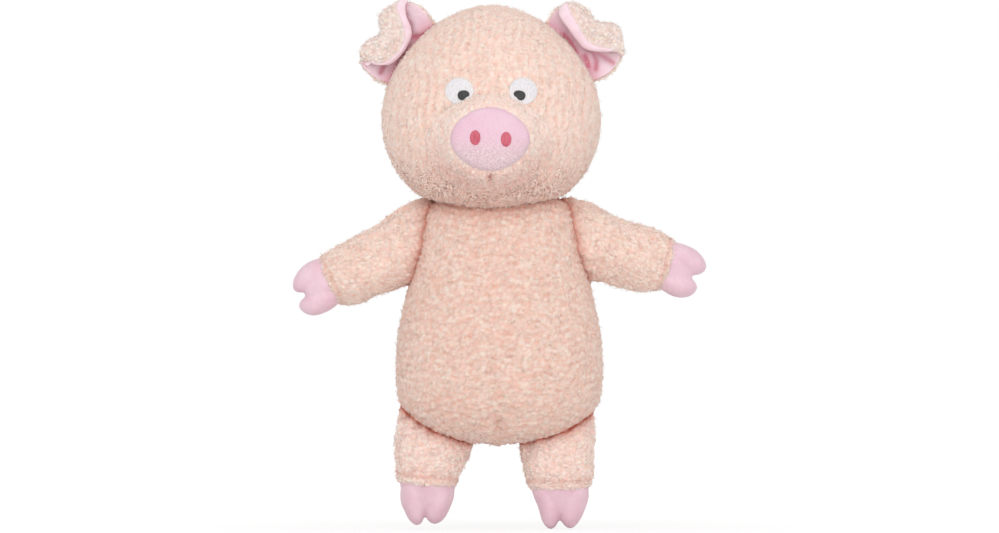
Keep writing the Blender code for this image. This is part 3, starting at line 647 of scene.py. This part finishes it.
def hoofForm(name, look, place):
    rows = [tuple(v * mm for v in row) for row in look["hoof"]]
    piece = drawOut(name, 24, throughRows(rows, 12).tolist())
    parts = [piece]
    for toe in look["toes"]:
        toeRows = [(along * mm, wide * mm, deep * mm, across * mm) for along, across, wide, deep in toe]
        parts.append(drawOut("toe", 20, throughRows(toeRows, 18).tolist()))
    deselectAll()
    for part in parts:
        part.select_set(True)
    bpy.context.view_layer.objects.active = piece
    bpy.ops.object.join()
    putInPlace(piece, place)
    applyModifier(piece, "oneSkin", "REMESH", mode="VOXEL", voxel_size=1 * mm)
    applyModifier(piece, "soften", "SMOOTH", factor=0.5, iterations=4)
    subdivide(piece, 1)
    points = pointsOf(piece)      # the toes stand flat on the ground
    points[:, 2] = np.maximum(points[:, 2], 0.1 * mm)
    setPoints(piece, points)
    return piece


limbs = {}
for limbName, look in limbLook.items():
    title = limbName.split("_")[0] + limbName.split("_")[1].capitalize()
    place = limbMatrix(limbName, look)
    rows = [tuple(v * mm for v in row) for row in look["sleeve"]]
    sleeve = drawOut(title + "Sleeve", limbPile["sides"], throughRows(rows, limbPile["rings"]).tolist())
    along = pointsOf(sleeve)[:, 2]
    putInPlace(sleeve, place)
    stuff(sleeve, (along < 0) | (along > look["sleeve"][-5][0] * mm), 3, 0.03, look["swell"] * mm)
    hoof = hoofForm(title + "Hoof", look, place)
    limbs[limbName] = {"title": title, "sleeve": sleeve, "hoof": hoof, "place": place}
print("limbs shaped")


# ---- pile on the big forms

bodyTree, headTree = treeOf(body), treeOf(head, muzzle)
sleeveTree = treeOf(*[limb["sleeve"] for limb in limbs.values()])
for piece, levels in ((body, 3), (head, 3), (muzzle, 3), (snout, 2)):
    subdivide(piece, levels)


def smoothStep(values, low, high):
    share = np.clip((values - low) / (high - low), 0, 1)
    return share * share * (3 - 2 * share)


# Body: a small pinched seam under the belly, with painted shade in it and where limbs and head are sewn on
bodyPoints = pointsOf(body)
navel = bodyMiddle + Vector((-1 * mm, -36 * mm, 67 * mm))
pinch = np.exp(-(np.linalg.norm((bodyPoints - np.array(navel)) * (1.6, 0.5, 0.6), axis=1) / (5 * mm)) ** 2)
setPoints(body, bodyPoints - pointsOf(body, "normal") * (pinch * 2.8 * mm)[:, None])
seamClose, neckClose = closeTo(body, sleeveTree, 12 * mm), closeTo(body, headTree, 15 * mm)
# Painted shade near the limbs' seams, deepest at the legs, and near the head
deep = np.where(bodyPoints[:, 2] < 100 * mm, 0.85, 0.3)
bodyShade = 0.25 * seamClose + deep * seamClose ** 6 + 0.4 * neckClose + 0.15 * pinch
waves = bodyPoints[:, 2] / bodyLook["rowPitch"] + 0.5 * np.sin(bodyPoints[:, 0] * 190 + bodyPoints[:, 2] * 60)
rows = bodyLook["rowHeight"] * np.cos(2 * math.pi * waves)
growPile(body, bodyLook["pileHeight"], bodyLook["curlSize"], 5, None, np.clip(bodyShade, 0, 0.9), rows)
finishSoft(body, pile)
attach(body, "body")
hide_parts("body_cover", "body_stuffing")
print("body pile grown")

# Head: pressed flat under the eyes, shaggier at the chin, with painted shade on the chin and round the lower half of
# the muzzle
def valleyAt(fromFace):
    share = np.hypot(fromFace[:, 0] / muzzleLook["halfWidth"], fromFace[:, 2] / muzzleLook["halfHeight"])
    return np.exp(-((share - 1.27) / 0.17) ** 2) * (1 - smoothStep(fromFace[:, 2], -12 * mm, 4 * mm))


eyeLook = {"spread": 20.3 * mm, "rise": 70.4 * mm, "halfWidth": 9.1 * mm, "halfHeight": 8.6 * mm}
fromNeck = pointsOf(head) - np.array(neck) - (headLook["shift"], 0, 0)
clump, _, _ = curlsAt(pointsOf(head), (5.4 * mm, 5.4 * mm, 5 * mm), 77)
fringe = (1 - smoothStep(fromNeck[:, 2], 10 * mm, 32 * mm)) * smoothStep(-fromNeck[:, 1], 5 * mm, 30 * mm)
fringe *= np.exp(-(fromNeck[:, 0] / (42 * mm)) ** 4)
shag = 4.6 * mm * fringe * smoothStep(fromNeck[:, 2], -6 * mm, 8 * mm) * np.clip(1 - clump, 0, 1)
setPoints(head, pointsOf(head) + pointsOf(head, "normal") * shag[:, None])
chin = 1 - smoothStep(fromNeck[:, 2], 2 * mm, 42 * mm)
headAmount = 0.95 + 0.5 * chin + 0.4 * fringe
front = fromNeck[:, 1] < 0
for side in (-1, 1):
    away = np.hypot((fromNeck[:, 0] - side * eyeLook["spread"]) / eyeLook["halfWidth"],
                    (fromNeck[:, 2] - eyeLook["rise"]) / eyeLook["halfHeight"])
    headAmount = np.where(front, headAmount * smoothStep(away, 0.85, 1.15), headAmount)
fromSnout = pointsOf(head) - np.array(faceCentre)
# Painted shade: in the valley round the muzzle's lower half, on the chin and between the chin's clumps
headShade = 0.11 * valleyAt(fromSnout) * front + 0.1 * chin + 0.12 * fringe * np.clip(0.4 + clump, 0, 1)
waves = fromNeck[:, 0] / headLook["rowPitch"] + 0.25 * np.sin(fromNeck[:, 2] * 150)
rows = headLook["rowHeight"] * np.cos(2 * math.pi * waves) * smoothStep(-fromNeck[:, 1], 5 * mm, 30 * mm)
rows = rows * smoothStep(headAmount, 0.3, 0.9) * (1 - chin)
growPile(head, headLook["pileHeight"], headLook["curlSize"], 23, headAmount, headShade, rows)
finishSoft(head, headPile)
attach(head, "head")
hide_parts("head_cover", "head_stuffing")

muzzlePoints = pointsOf(muzzle)
fromFace = muzzlePoints - np.array(faceCentre)
below = smoothStep(-fromFace[:, 2], 5 * mm, 22 * mm)
groove = np.exp(-(fromFace[:, 0] / (2 * mm)) ** 2 - ((fromFace[:, 2] + 25 * mm) / (3.5 * mm)) ** 2)
setPoints(muzzle, muzzlePoints - pointsOf(muzzle, "normal") * (groove * 2.2 * mm)[:, None])
muzzleAmount = 0.75 + 0.8 * below
# Painted shade: in the mouth groove, below the snout and in the valley round the muzzle's lower half
muzzleShade = 0.3 * groove + 0.1 * below + 0.15 * valleyAt(fromFace)
growPile(muzzle, muzzleLook["pileHeight"], muzzleLook["curlSize"], 41, muzzleAmount, muzzleShade)
finishSoft(muzzle, palePile)
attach(muzzle, "head")
fromFace = pointsOf(snout) - np.array(faceCentre)      # its lower half is brushed the other way and looks frosted
edge = np.hypot(fromFace[:, 0] / snoutLook["halfWidth"], fromFace[:, 2] / snoutLook["halfHeight"])
# Painted shade along the pad's edge, where it is sewn on
addFold(snout, 0.35 * smoothStep(edge, 0.93, 1.0), 0.8 * smoothStep(-fromFace[:, 2], -4 * mm, 13 * mm))
finishSoft(snout, snoutVelour)
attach(snout, "head")
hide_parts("snout")
print("head pile grown")

# Limbs: gathers at the seam and a groove above the hoof
for limbName, limb in limbs.items():
    sleeve, place = limb["sleeve"], limb["place"]
    subdivide(sleeve, 3)
    points = pointsOf(sleeve)
    local = (points - np.array(place.translation)) @ np.array(place.to_3x3())
    angle = np.arctan2(local[:, 1], local[:, 0])
    gathers = np.sin(angle * 9 + 2.2 * np.sin(angle * 2 + 1)) * np.exp(-np.maximum(local[:, 2], 0) / (9 * mm))
    setPoints(sleeve, points + pointsOf(sleeve, "normal") * (gathers * 0.9 * mm)[:, None])
    hoofLine = limbLook[limbName]["sleeve"][-4][0] * mm
    groove = np.exp(-((local[:, 2] - hoofLine) / (1.3 * mm)) ** 2)
    # Painted shade: darker near the body's seam, deepest on the legs, and in the groove above the hoof
    seamClose = closeTo(sleeve, bodyTree, 12 * mm)
    deep = 0.9 if "leg" in limbName else 0.5
    shade = np.clip(0.3 * seamClose + deep * seamClose ** 4 + 0.25 * groove, 0, 0.95)
    seed = 60 + 10 * len(limbName) + ord(limbName[0])
    growPile(sleeve, limbPile["height"], limbPile["curlSize"], seed, 1 - 0.35 * groove, shade)
    finishSoft(sleeve, palePile if "leg" in limbName else headPile)
    finishSoft(limb["hoof"], hoofVelour)
    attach(limb["hoof"], limbName)
    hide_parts(limbName + "_hoof")
    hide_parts(limbName + "_sleeve", limbName + "_stuffing")
print("limb pile grown")


# ---- ears: two layers folded forward, given as places along the root, outward and forward in mm

earLook = {
    "right": {"middle": (-57.4, 303.7), "along": (0.621, 0.784), "out": (-0.784, 0.621), "net": [
        [(21.6, -3, 0), (26, 9, -1), (26.4, 18, 0), (24, 23.5, 2.5), (22.5, 24.6, 4), (21.2, 24, 5)],
        [(17.5, -3, 0), (20.5, 10, -2), (21, 21, 0), (19, 28, 4.5), (17.5, 24.5, 8), (16.5, 18.8, 8)],
        [(10.5, -3, 0), (12, 11, -2), (12.5, 23, -0.5), (11.5, 30.6, 4.5), (12, 25, 9.5), (13.2, 12.5, 8)],
        [(5, -3, 0), (5.5, 11, -2), (6, 23, -1), (6, 30.4, 4), (7, 24, 9), (8.5, 8.4, 7)],
        [(-1, -3, 0), (-1.5, 10, -2), (-2, 17, -1), (-2.2, 22.8, 4), (-2, 19, 9), (-1.3, 6.3, 7)],
        [(-8.6, -3, 0), (-9.5, 10, -2), (-11, 19, -1), (-11.5, 26.2, 4), (-11, 22, 9.5), (-9, 6.7, 7.5)],
        [(-15, -3, 0), (-17, 10, -2), (-19, 18, 0), (-19, 26, 4.5), (-17.5, 22, 9), (-15.1, 9.3, 8)],
        [(-22, -3, 0), (-26, 8, -1), (-26.4, 15, 0), (-24.6, 22, 3), (-23, 22, 5), (-21.5, 20, 6)]],
        "rim": [5, 10, 7, 3, 2.4, 2.2, 2.0, 1.8],
        "creases": [[(-62.5, 333), (-61.4, 327.6), (-58.7, 322.6)], [(-74.6, 298), (-77.4, 292.5)],
                    [(-59, 321.3), (-58, 315.2), (-51, 315.2), (-44.9, 319)],
                    [(-62, 303), (-66, 296), (-68, 289)]]},
    "left": {"middle": (43.1, 304.6), "along": (-0.628, 0.778), "out": (0.778, 0.628), "net": [
        [(21.6, -3, 0), (26, 8, -1), (27, 13, 0), (25.6, 16, 2), (24.8, 15, 4), (24.4, 12, 5)],
        [(17, -3, 0), (20.5, 10, -2), (21.8, 18, 0), (22, 22.4, 4), (21.2, 18, 7.5), (20.2, 10.6, 8)],
        [(10.5, -3, 0), (12, 11, -2), (13, 20, -1), (14, 25.6, 4.5), (13.8, 20, 9), (12.9, 10.4, 8)],
        [(5, -3, 0), (5, 11, -2), (4.6, 20, -1), (5, 25, 4.5), (4.8, 20, 9), (4.2, 10, 7)],
        [(-1, -3, 0), (-1.5, 12, -2), (-1, 24, -1), (-1.5, 31, 4.5), (-3, 25, 9.5), (-3.5, 10.4, 7)],
        [(-8.6, -3, 0), (-9, 12, -2), (-9, 26, -1), (-9, 34, 4.5), (-9.5, 28, 9.5), (-8.6, 13.6, 7.5)],
        [(-15, -3, 0), (-16.5, 11, -2), (-18, 22, 0), (-17.6, 29.5, 4), (-16, 27, 8), (-13.9, 19.2, 8.5)],
        [(-22, -3, 0), (-25.5, 8, -1), (-25.6, 16, 0), (-22.6, 24.6, 3), (-19, 26, 5), (-15.8, 24, 7)]],
        "rim": [8, 7, 6, 5.2, 4.8, 4.4, 3.8, 3],
        "creases": [[(54.7, 307.5), (63.8, 303.4), (71.6, 298.3)], [(58.8, 304.7), (60.6, 300.2), (60.2, 294.5)],
                    [(53.5, 303), (55.6, 296.5)], [(40, 316), (44, 311), (47, 305)]]},
}
earPile = {"height": 1.3 * mm, "curlSize": (2.8 * mm, 2.8 * mm, 2.8 * mm), "curls": 140, "fibres": 1200}


def earGrid(look, columns, rows):
    net = np.array(look["net"], float)
    lines = np.stack([throughRows(line, rows) for line in net])
    grid = np.stack([throughRows(lines[:, i], columns) for i in range(rows)], axis=1)
    along = np.array((look["along"][0], 0, look["along"][1]))
    out = np.array((look["out"][0], 0, look["out"][1]))
    root = np.array((look["middle"][0] * mm, neck.y, look["middle"][1] * mm))
    world = grid[..., 0:1] * along + grid[..., 1:2] * out + grid[..., 2:3] * np.array((0, -1, 0))
    world = root + world * mm
    lower = 1 - smoothStep(np.arange(rows), 0.42 * rows, 0.55 * rows)      # only the layer that faces forward
    world[..., 1] += 2.6 * mm * creaseDepth(world, look["creases"], 1.9 * mm) * lower
    return world


# How near each point lies, seen from the front, to the soft creases of the lining
def creaseDepth(points, creases, width):
    depth = np.zeros(points.shape[:-1])
    flat = points[..., [0, 2]]
    for line in creases:
        line = np.array(line) * mm
        for a, b in zip(line, line[1:]):
            t = np.clip(((flat - a) @ (b - a)) / ((b - a) @ (b - a)), 0, 1)
            far = np.linalg.norm(flat - a - t[..., None] * (b - a), axis=-1)
            depth = np.maximum(depth, np.exp(-(far / width) ** 2))
    return depth


def earSheet(name, grid, offset, thickness):
    columns, rows = grid.shape[:2]
    deselectAll()
    bpy.ops.mesh.primitive_grid_add(x_subdivisions=rows - 1, y_subdivisions=columns - 1, size=2)
    piece = bpy.context.object
    piece.name = name
    flat = pointsOf(piece)
    row = np.rint((flat[:, 0] + 1) / 2 * (rows - 1)).astype(int)
    column = np.rint((flat[:, 1] + 1) / 2 * (columns - 1)).astype(int)
    setPoints(piece, grid[column, row])
    middle = (columns // 2) * rows + rows // 5      # behind the lining the sheet looks back
    if pointsOf(piece, "normal")[middle][1] < 0:
        piece.data.flip_normals()
    setPoints(piece, pointsOf(piece) + pointsOf(piece, "normal") * offset)
    applyModifier(piece, "layer", "SOLIDIFY", thickness=thickness, offset=1 if offset > 0 else -1)
    subdivide(piece, 2)
    return piece


# The lining rolls out over the flap's edge as a soft pink rim, broadest at the top
def earRim(name, grid, widths):
    columns, rows = grid.shape[:2]
    places = np.linspace(0, columns - 1, 46)
    edge = np.stack([np.interp(places, range(columns), grid[:, -1, i]) for i in range(3)], axis=1)
    inner = np.stack([np.interp(places, range(columns), grid[:, -5, i]) for i in range(3)], axis=1)
    inward = inner - edge
    inward /= np.linalg.norm(inward, axis=1, keepdims=True)
    outward = np.cross(np.gradient(edge, axis=0), inward)
    outward /= np.linalg.norm(outward, axis=1, keepdims=True)
    outward *= -np.sign(outward[:, 1:2])
    wide = np.interp(places, np.linspace(0, columns - 1, len(widths)), widths)
    loop = []
    for share, plus, proud in ((0, 1.4, -1.3), (0, 0.2, -1.7), (0, -0.9, -1.2), (0, -1.3, 0.1), (0, -0.9, 1.4),
                               (0, 0.3, 2.3), (0.5, 0, 2.8), (1, -0.6, 2.4), (1, 0, 1.4), (1, -0.8, 0.6),
                               (0.4, 0, 0.4), (0, 1.4, -1.3)):
        loop.append(edge + inward * ((share * wide + plus) * mm)[:, None] + outward * proud * mm)
    deselectAll()
    bpy.ops.mesh.primitive_grid_add(x_subdivisions=len(loop) - 1, y_subdivisions=len(places) - 1, size=2)
    piece = bpy.context.object
    piece.name = name
    flat = pointsOf(piece)
    across = np.rint((flat[:, 0] + 1) / 2 * (len(loop) - 1)).astype(int)
    down = np.rint((flat[:, 1] + 1) / 2 * (len(places) - 1)).astype(int)
    setPoints(piece, np.stack(loop)[across, down])
    bpy.ops.object.mode_set(mode="EDIT")
    bpy.ops.mesh.select_all(action="SELECT")
    bpy.ops.mesh.remove_doubles(threshold=1e-6)
    bpy.ops.mesh.fill_holes(sides=0)
    bpy.ops.mesh.select_all(action="SELECT")
    bpy.ops.mesh.normals_make_consistent(inside=False)
    bpy.ops.object.mode_set(mode="OBJECT")
    subdivide(piece, 2)
    return piece


ears = {}
for side, look in earLook.items():
    grid = earGrid(look, 28, 34)
    wider = grid.copy()      # the panel's pile shows as a cream border round the lining
    reach = np.exp(-np.arange(28) / 1.7)[:, None, None] * 0.4
    wider += reach * (grid[:1] - grid[2:3]) - reach[::-1] * (grid[-3:-2] - grid[-1:])
    panel = earSheet(side + "EarPanel", wider, 0.05 * mm, 1.6 * mm)
    lining = earSheet(side + "EarLining", grid, -0.05 * mm, 1.1 * mm)
    rim = earRim(side + "EarRim", grid, look["rim"])
    ears[side] = {"panel": panel, "lining": lining, "rim": rim}
    # Painted shade on the panel near the head
    shade = closeTo(panel, headTree, 5 * mm) * 0.5
    underRim = closeTo(panel, treeOf(rim), 1.6 * mm) > 0
    growPile(panel, earPile["height"], earPile["curlSize"], 120 + len(side), np.where(underRim, 0, 1.0), shade)
    liningPoints = pointsOf(lining)
    # Painted shade on the lining: in its creases, near the head and under the rim
    headClose, rimClose = closeTo(lining, headTree, 13 * mm), closeTo(lining, treeOf(rim), 6 * mm)
    foldShading = 0.55 * creaseDepth(liningPoints, look["creases"], 1.7 * mm) + 0.6 * headClose + 0.45 * rimClose
    addFold(lining, np.clip(foldShading, 0, 0.85), 0 * headClose)
    finishSoft(panel, earPileCloth)
    for piece in (lining, rim):
        finishSoft(piece, earVelour)
    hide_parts(side + "_ear_back")
    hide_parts(side + "_ear_lining")
print("ears made")


# ---- curls and stray fibres over every pile skin

def coverWithYarn(skin, title, curls, fibres, seed, weight=None):
    made = [scatter(title + "Curls", skin, yarnCurl, curls, seed, (0.7, 1.15), 0.5, 0.6 * mm, weight),
            scatter(title + "Fibres", skin, strayFibre, fibres, seed + 1, (0.8, 1.7), 0.6, 0.3 * mm, weight)]
    return made


def awayFromEyes(centres):
    fromNeck = centres - np.array(neck) - (headLook["shift"], 0, 0)
    keep = np.ones(len(centres))
    for side in (-1, 1):
        away = np.hypot((fromNeck[:, 0] - side * eyeLook["spread"]) / eyeLook["halfWidth"],
                        (fromNeck[:, 2] - eyeLook["rise"]) / eyeLook["halfHeight"])
        inner = -side * (fromNeck[:, 0] - side * eyeLook["spread"]) - (fromNeck[:, 2] - eyeLook["rise"])
        lid = (away < 1.16) & (away > 1.0) & (inner > 5 * mm)      # pile laps over the lower inner edge
        keep = np.where((away < 1.05) & (fromNeck[:, 1] < 0), 0, keep)
        keep = np.where(lid & (fromNeck[:, 1] < 0), 5, keep)
    return keep * (0.7 + 0.9 * (1 - smoothStep(fromNeck[:, 2], 0, 45 * mm)))


def atChin(centres):
    fromNeck = centres - np.array(neck) - (headLook["shift"], 0, 0)
    low = 1 - smoothStep(fromNeck[:, 2], 8 * mm, 30 * mm)
    middle = 0.35 + 0.65 * np.exp(-(fromNeck[:, 0] / (32 * mm)) ** 2)
    return low * middle * smoothStep(-fromNeck[:, 1], 0, 25 * mm) * (fromNeck[:, 2] > 3 * mm) + 1e-9


def clearOf(tree, gap):
    def weight(centres):
        return np.array([1.0 if tree.find_nearest(Vector(c), gap)[0] is None else 0.0 for c in centres])
    return weight


def outsideSnout(centres):
    fromFace = centres - np.array(faceCentre)
    share = np.hypot(fromFace[:, 0] / snoutLook["halfWidth"], fromFace[:, 2] / snoutLook["halfHeight"])
    return np.where((share < 1.03) | (fromFace[:, 1] > 12 * mm), 0, 1.0)


for piece in coverWithYarn(body, "body", bodyLook["curls"], bodyLook["fibres"], 301):
    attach(piece, "body")
for piece in coverWithYarn(head, "head", headLook["curls"], headLook["fibres"], 311, awayFromEyes):
    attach(piece, "head")
for piece in coverWithYarn(muzzle, "muzzle", muzzleLook["curls"], muzzleLook["fibres"], 321, outsideSnout):
    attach(piece, "head")
chinTufts = scatter("chinTufts", head, yarnCurl, 820, 317, (0.9, 1.6), 0.6, 0.8 * mm, atChin)
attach(chinTufts, "head")
for side, ear in ears.items():
    clear = clearOf(treeOf(ear["rim"]), 0.8 * mm)
    yarn = coverWithYarn(ear["panel"], side + "Ear", earPile["curls"], earPile["fibres"], 331 + len(side), clear)
    for piece in [ear["panel"], ear["lining"], ear["rim"]] + yarn:
        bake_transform(piece)
for number, (limbName, limb) in enumerate(limbs.items()):
    place = limb["place"]
    yarn = coverWithYarn(limb["sleeve"], limb["title"], limbPile["curls"], limbPile["fibres"], 351 + 3 * number)
    for piece in [limb["sleeve"]] + yarn:
        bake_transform(piece)
print("yarn curls and fibres scattered")


# ---- stitched eyes and nostrils, laid on the forms beneath them

# An outline in mm round its centre, drawn inward ring by ring and laid on a form from the front
def stitchedPatch(name, outline, centre, tree, lift, dome):
    deselectAll()
    bpy.ops.mesh.primitive_circle_add(vertices=len(outline), radius=1, fill_type="NOTHING")
    piece = bpy.context.object
    piece.name = name
    ring = np.zeros((len(outline), 3))
    ring[:, [0, 2]] = np.array(outline) * mm
    setPoints(piece, ring)
    bpy.ops.object.mode_set(mode="EDIT")
    bpy.ops.mesh.select_all(action="SELECT")
    shares = [1.0, 0.96, 0.88, 0.72, 0.5, 0.25, 0.03]
    for last, share in zip(shares, shares[1:]):
        bpy.ops.mesh.extrude_edges_move(TRANSFORM_OT_translate={"value": (0, 0, 0)})
        bpy.ops.transform.resize(value=(share / last,) * 3, center_override=(0, 0, 0))
    bpy.ops.mesh.edge_face_add()
    bpy.ops.mesh.select_all(action="SELECT")
    bpy.ops.mesh.normals_make_consistent(inside=False)
    bpy.ops.object.mode_set(mode="OBJECT")
    if piece.data.polygons[0].normal.y > 0:
        piece.data.flip_normals()
    points = pointsOf(piece)
    count = len(outline)
    levels = [share for share in shares for _ in range(count)]
    for index, point in enumerate(points):
        x, z = centre.x + point[0], centre.z + point[2]
        hit = tree.ray_cast(Vector((x, -1, z)), Vector((0, 1, 0)))[0]
        level = levels[index]
        points[index] = (x, hit.y - lift - dome * (1 - level ** 4), z)
    setPoints(piece, points)
    applyModifier(piece, "threads", "SOLIDIFY", thickness=1.6 * mm, offset=-1)
    subdivide(piece, 2)
    return piece


def ovalOutline(halfWidth, halfHeight, count=40):
    turns = [2 * math.pi * i / count for i in range(count)]
    return [(halfWidth * math.cos(t), halfHeight * math.sin(t)) for t in turns]


# Pupils: ovals whose lower inner side the muzzle's pile hides
pupilLook = {
    "right": [(-3.9, 0.2), (-3.0, 2.3), (-0.6, 3.3), (2.2, 3.0), (3.9, 1.2), (3.4, -0.5), (1.6, -1.3),
              (0.6, -2.6), (-1.2, -3.3), (-3.1, -2.2)],
    "left": [(-3.9, 1.4), (-2.6, 2.9), (0.0, 3.3), (2.6, 2.4), (3.9, 0.4), (3.3, -2.0), (1.2, -3.3),
             (-0.8, -2.6), (-2.0, -1.2), (-3.4, -0.2)],
}
pupilPlace = {"right": (2.7, -2.75), "left": (-2.3, -2.8)}
smoothHead = treeOf(head)
for side, sign in (("right", -1), ("left", 1)):
    centre = neck + Vector((sign * eyeLook["spread"] + headLook["shift"], 0, eyeLook["rise"]))
    outline = ovalOutline(eyeLook["halfWidth"] / mm, eyeLook["halfHeight"] / mm)
    white = stitchedPatch(side + "EyeWhite", outline, centre, smoothHead, 0.5 * mm, 0.5 * mm)
    finishSoft(white, whiteSatin)
    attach(white, "head")
    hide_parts(side + "_eye_white")
    shift = pupilPlace[side]
    closed = pupilLook[side][-2:] + pupilLook[side] * 2
    rounded = throughRows(closed, 90)
    turns = np.unwrap(np.arctan2(rounded[:, 1], rounded[:, 0]))
    rounded = [(np.interp(t, -turns, rounded[:, 0]), np.interp(t, -turns, rounded[:, 1]))
               for t in -turns[0] + 0.6 + np.linspace(0, 2 * math.pi, 32, endpoint=False)]
    pupilCentre = centre + Vector((shift[0] * mm, 0, shift[1] * mm))
    pupil = stitchedPatch(side + "Pupil", rounded, pupilCentre, treeOf(white), 0.35 * mm, 0.35 * mm)
    finishSoft(pupil, blackSatin)
    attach(pupil, "head")
    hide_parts(side + "_pupil")
    nostrilCentre = faceCentre + Vector((0.35 * mm + sign * 9.8 * mm, 0, 0.5 * mm - sign * 0.5 * mm))
    nostril = stitchedPatch(side + "Nostril", ovalOutline(3.45, 4.85), nostrilCentre, treeOf(snout),
                            0.25 * mm, 0.5 * mm)
    finishSoft(nostril, redSatin)
    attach(nostril, "head")
    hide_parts(side + "_nostril")
print("face stitched")


# ---- tail: a curled velour tube

tailLook = {"radius": 4.2 * mm, "tip": 0.62, "stem": 8 * mm, "curl": 7 * mm, "turns": 1.2, "pitch": 12 * mm}
tailRoot = Vector(joints["tail_joint"]["pos_m"])
tailLine = bpy.data.curves.new("tailVelour", "CURVE")
tailLine.dimensions = "3D"
tailLine.bevel_depth = tailLook["radius"]
tailLine.bevel_resolution = 6
tailLine.use_fill_caps = True
tailSpline = tailLine.splines.new("NURBS")
tailSpline.points.add(40)
for index in range(41):
    share = index / 40
    angle = 2 * math.pi * tailLook["turns"] * share
    tailSpline.points[index].co = (
        tailRoot.x + tailLook["curl"] * math.sin(angle),
        tailRoot.y - 4 * mm * (index == 0) + tailLook["stem"] * min(1, share * 18)
        + tailLook["pitch"] * tailLook["turns"] * share,
        tailRoot.z + tailLook["curl"] * (1 - math.cos(angle)), 1)
    tailSpline.points[index].radius = (1 - (1 - tailLook["tip"]) * share) * (1 if index < 40 else 0.5)
tailSpline.use_endpoint_u = True
tailSpline.resolution_u = 4
tail = bpy.data.objects.new("tailVelour", tailLine)
bpy.context.scene.collection.objects.link(tail)
activate(tail)
bpy.ops.object.convert(target="MESH")
tail = bpy.context.object
finishSoft(tail, hoofVelour)
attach(tail, "tail")
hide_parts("tail")
print("tail made")


# ---- floor, light and camera

deselectAll()
bpy.ops.mesh.primitive_plane_add(size=12, location=(0, 0, -0.0002))
floor = bpy.context.object
floor.name = "floor"
floorPaint, tree, shader = newMaterial("matteStudioFloor")
shader.inputs["Base Color"].default_value = hexColour("#f4f4f4")
shader.inputs["Roughness"].default_value = 0.9
shader.inputs["Specular IOR Level"].default_value = 0.1
path = addNode(tree, "ShaderNodeLightPath")
seen = addNode(tree, "ShaderNodeMath", {0: path.outputs["Is Camera Ray"], 1: 0.72}, operation="MULTIPLY")
place = addNode(tree, "ShaderNodeTexCoord")
far = addNode(tree, "ShaderNodeVectorMath", {0: place.outputs["Object"]}, operation="LENGTH")
level = addNode(tree, "ShaderNodeMapRange", {0: far.outputs["Value"], 1: 0.12, 2: 0.5, 3: 1.06, 4: 1.16})
glow = addNode(tree, "ShaderNodeEmission", {"Color": (1, 1, 1, 1), "Strength": level.outputs[0]})
mixed = addNode(tree, "ShaderNodeMixShader", {0: seen.outputs[0], 1: shader.outputs[0], 2: glow.outputs[0]})
tree.links.new(mixed.outputs[0], tree.nodes["Material Output"].inputs["Surface"])
floor.data.materials.append(floorPaint)

world = bpy.data.worlds.new("studio")
bpy.context.scene.world = world
world.use_nodes = True
tree = world.node_tree
path = addNode(tree, "ShaderNodeLightPath")
soft = addNode(tree, "ShaderNodeBackground", {"Color": (1.0, 0.99, 0.985, 1), "Strength": 0.76})
white = addNode(tree, "ShaderNodeBackground", {"Color": (1, 1, 1, 1), "Strength": 1.0})
mixed = addNode(tree, "ShaderNodeMixShader", {0: path.outputs["Is Camera Ray"], 1: soft.outputs[0],
                                              2: white.outputs[0]})
tree.links.new(mixed.outputs[0], tree.nodes["World Output"].inputs["Surface"])


def areaLight(name, place, target, size, power):
    light = bpy.data.lights.new(name, "AREA")
    light.size = size
    light.energy = power
    lamp = bpy.data.objects.new(name, light)
    lamp.location = place
    lamp.rotation_mode = "QUATERNION"
    lamp.rotation_quaternion = (Vector(target) - Vector(place)).to_track_quat("-Z", "Y")
    bpy.context.scene.collection.objects.link(lamp)


areaLight("keyLight", (-0.35, -1.7, 1.1), (0, 0, 0.16), 1.5, 10.6)
areaLight("fillLight", (0.9, -1.8, 0.2), (0, 0, 0.1), 1.4, 9)

cameraData = bpy.data.cameras.new("camera")
camera = bpy.data.objects.new("camera", cameraData)
bpy.context.scene.collection.objects.link(camera)
camera.location = (-1.4 * mm, -7, 168 * mm)
camera.rotation_euler = (math.radians(90), 0, 0)
cameraData.sensor_width = 36
cameraData.lens = 36 * 7 / 0.6394     # the photograph's 999 pixels are 0.64 mm each
cameraData.clip_end = 30
bpy.context.scene.camera = camera
bpy.context.scene.view_settings.view_transform = "Standard"
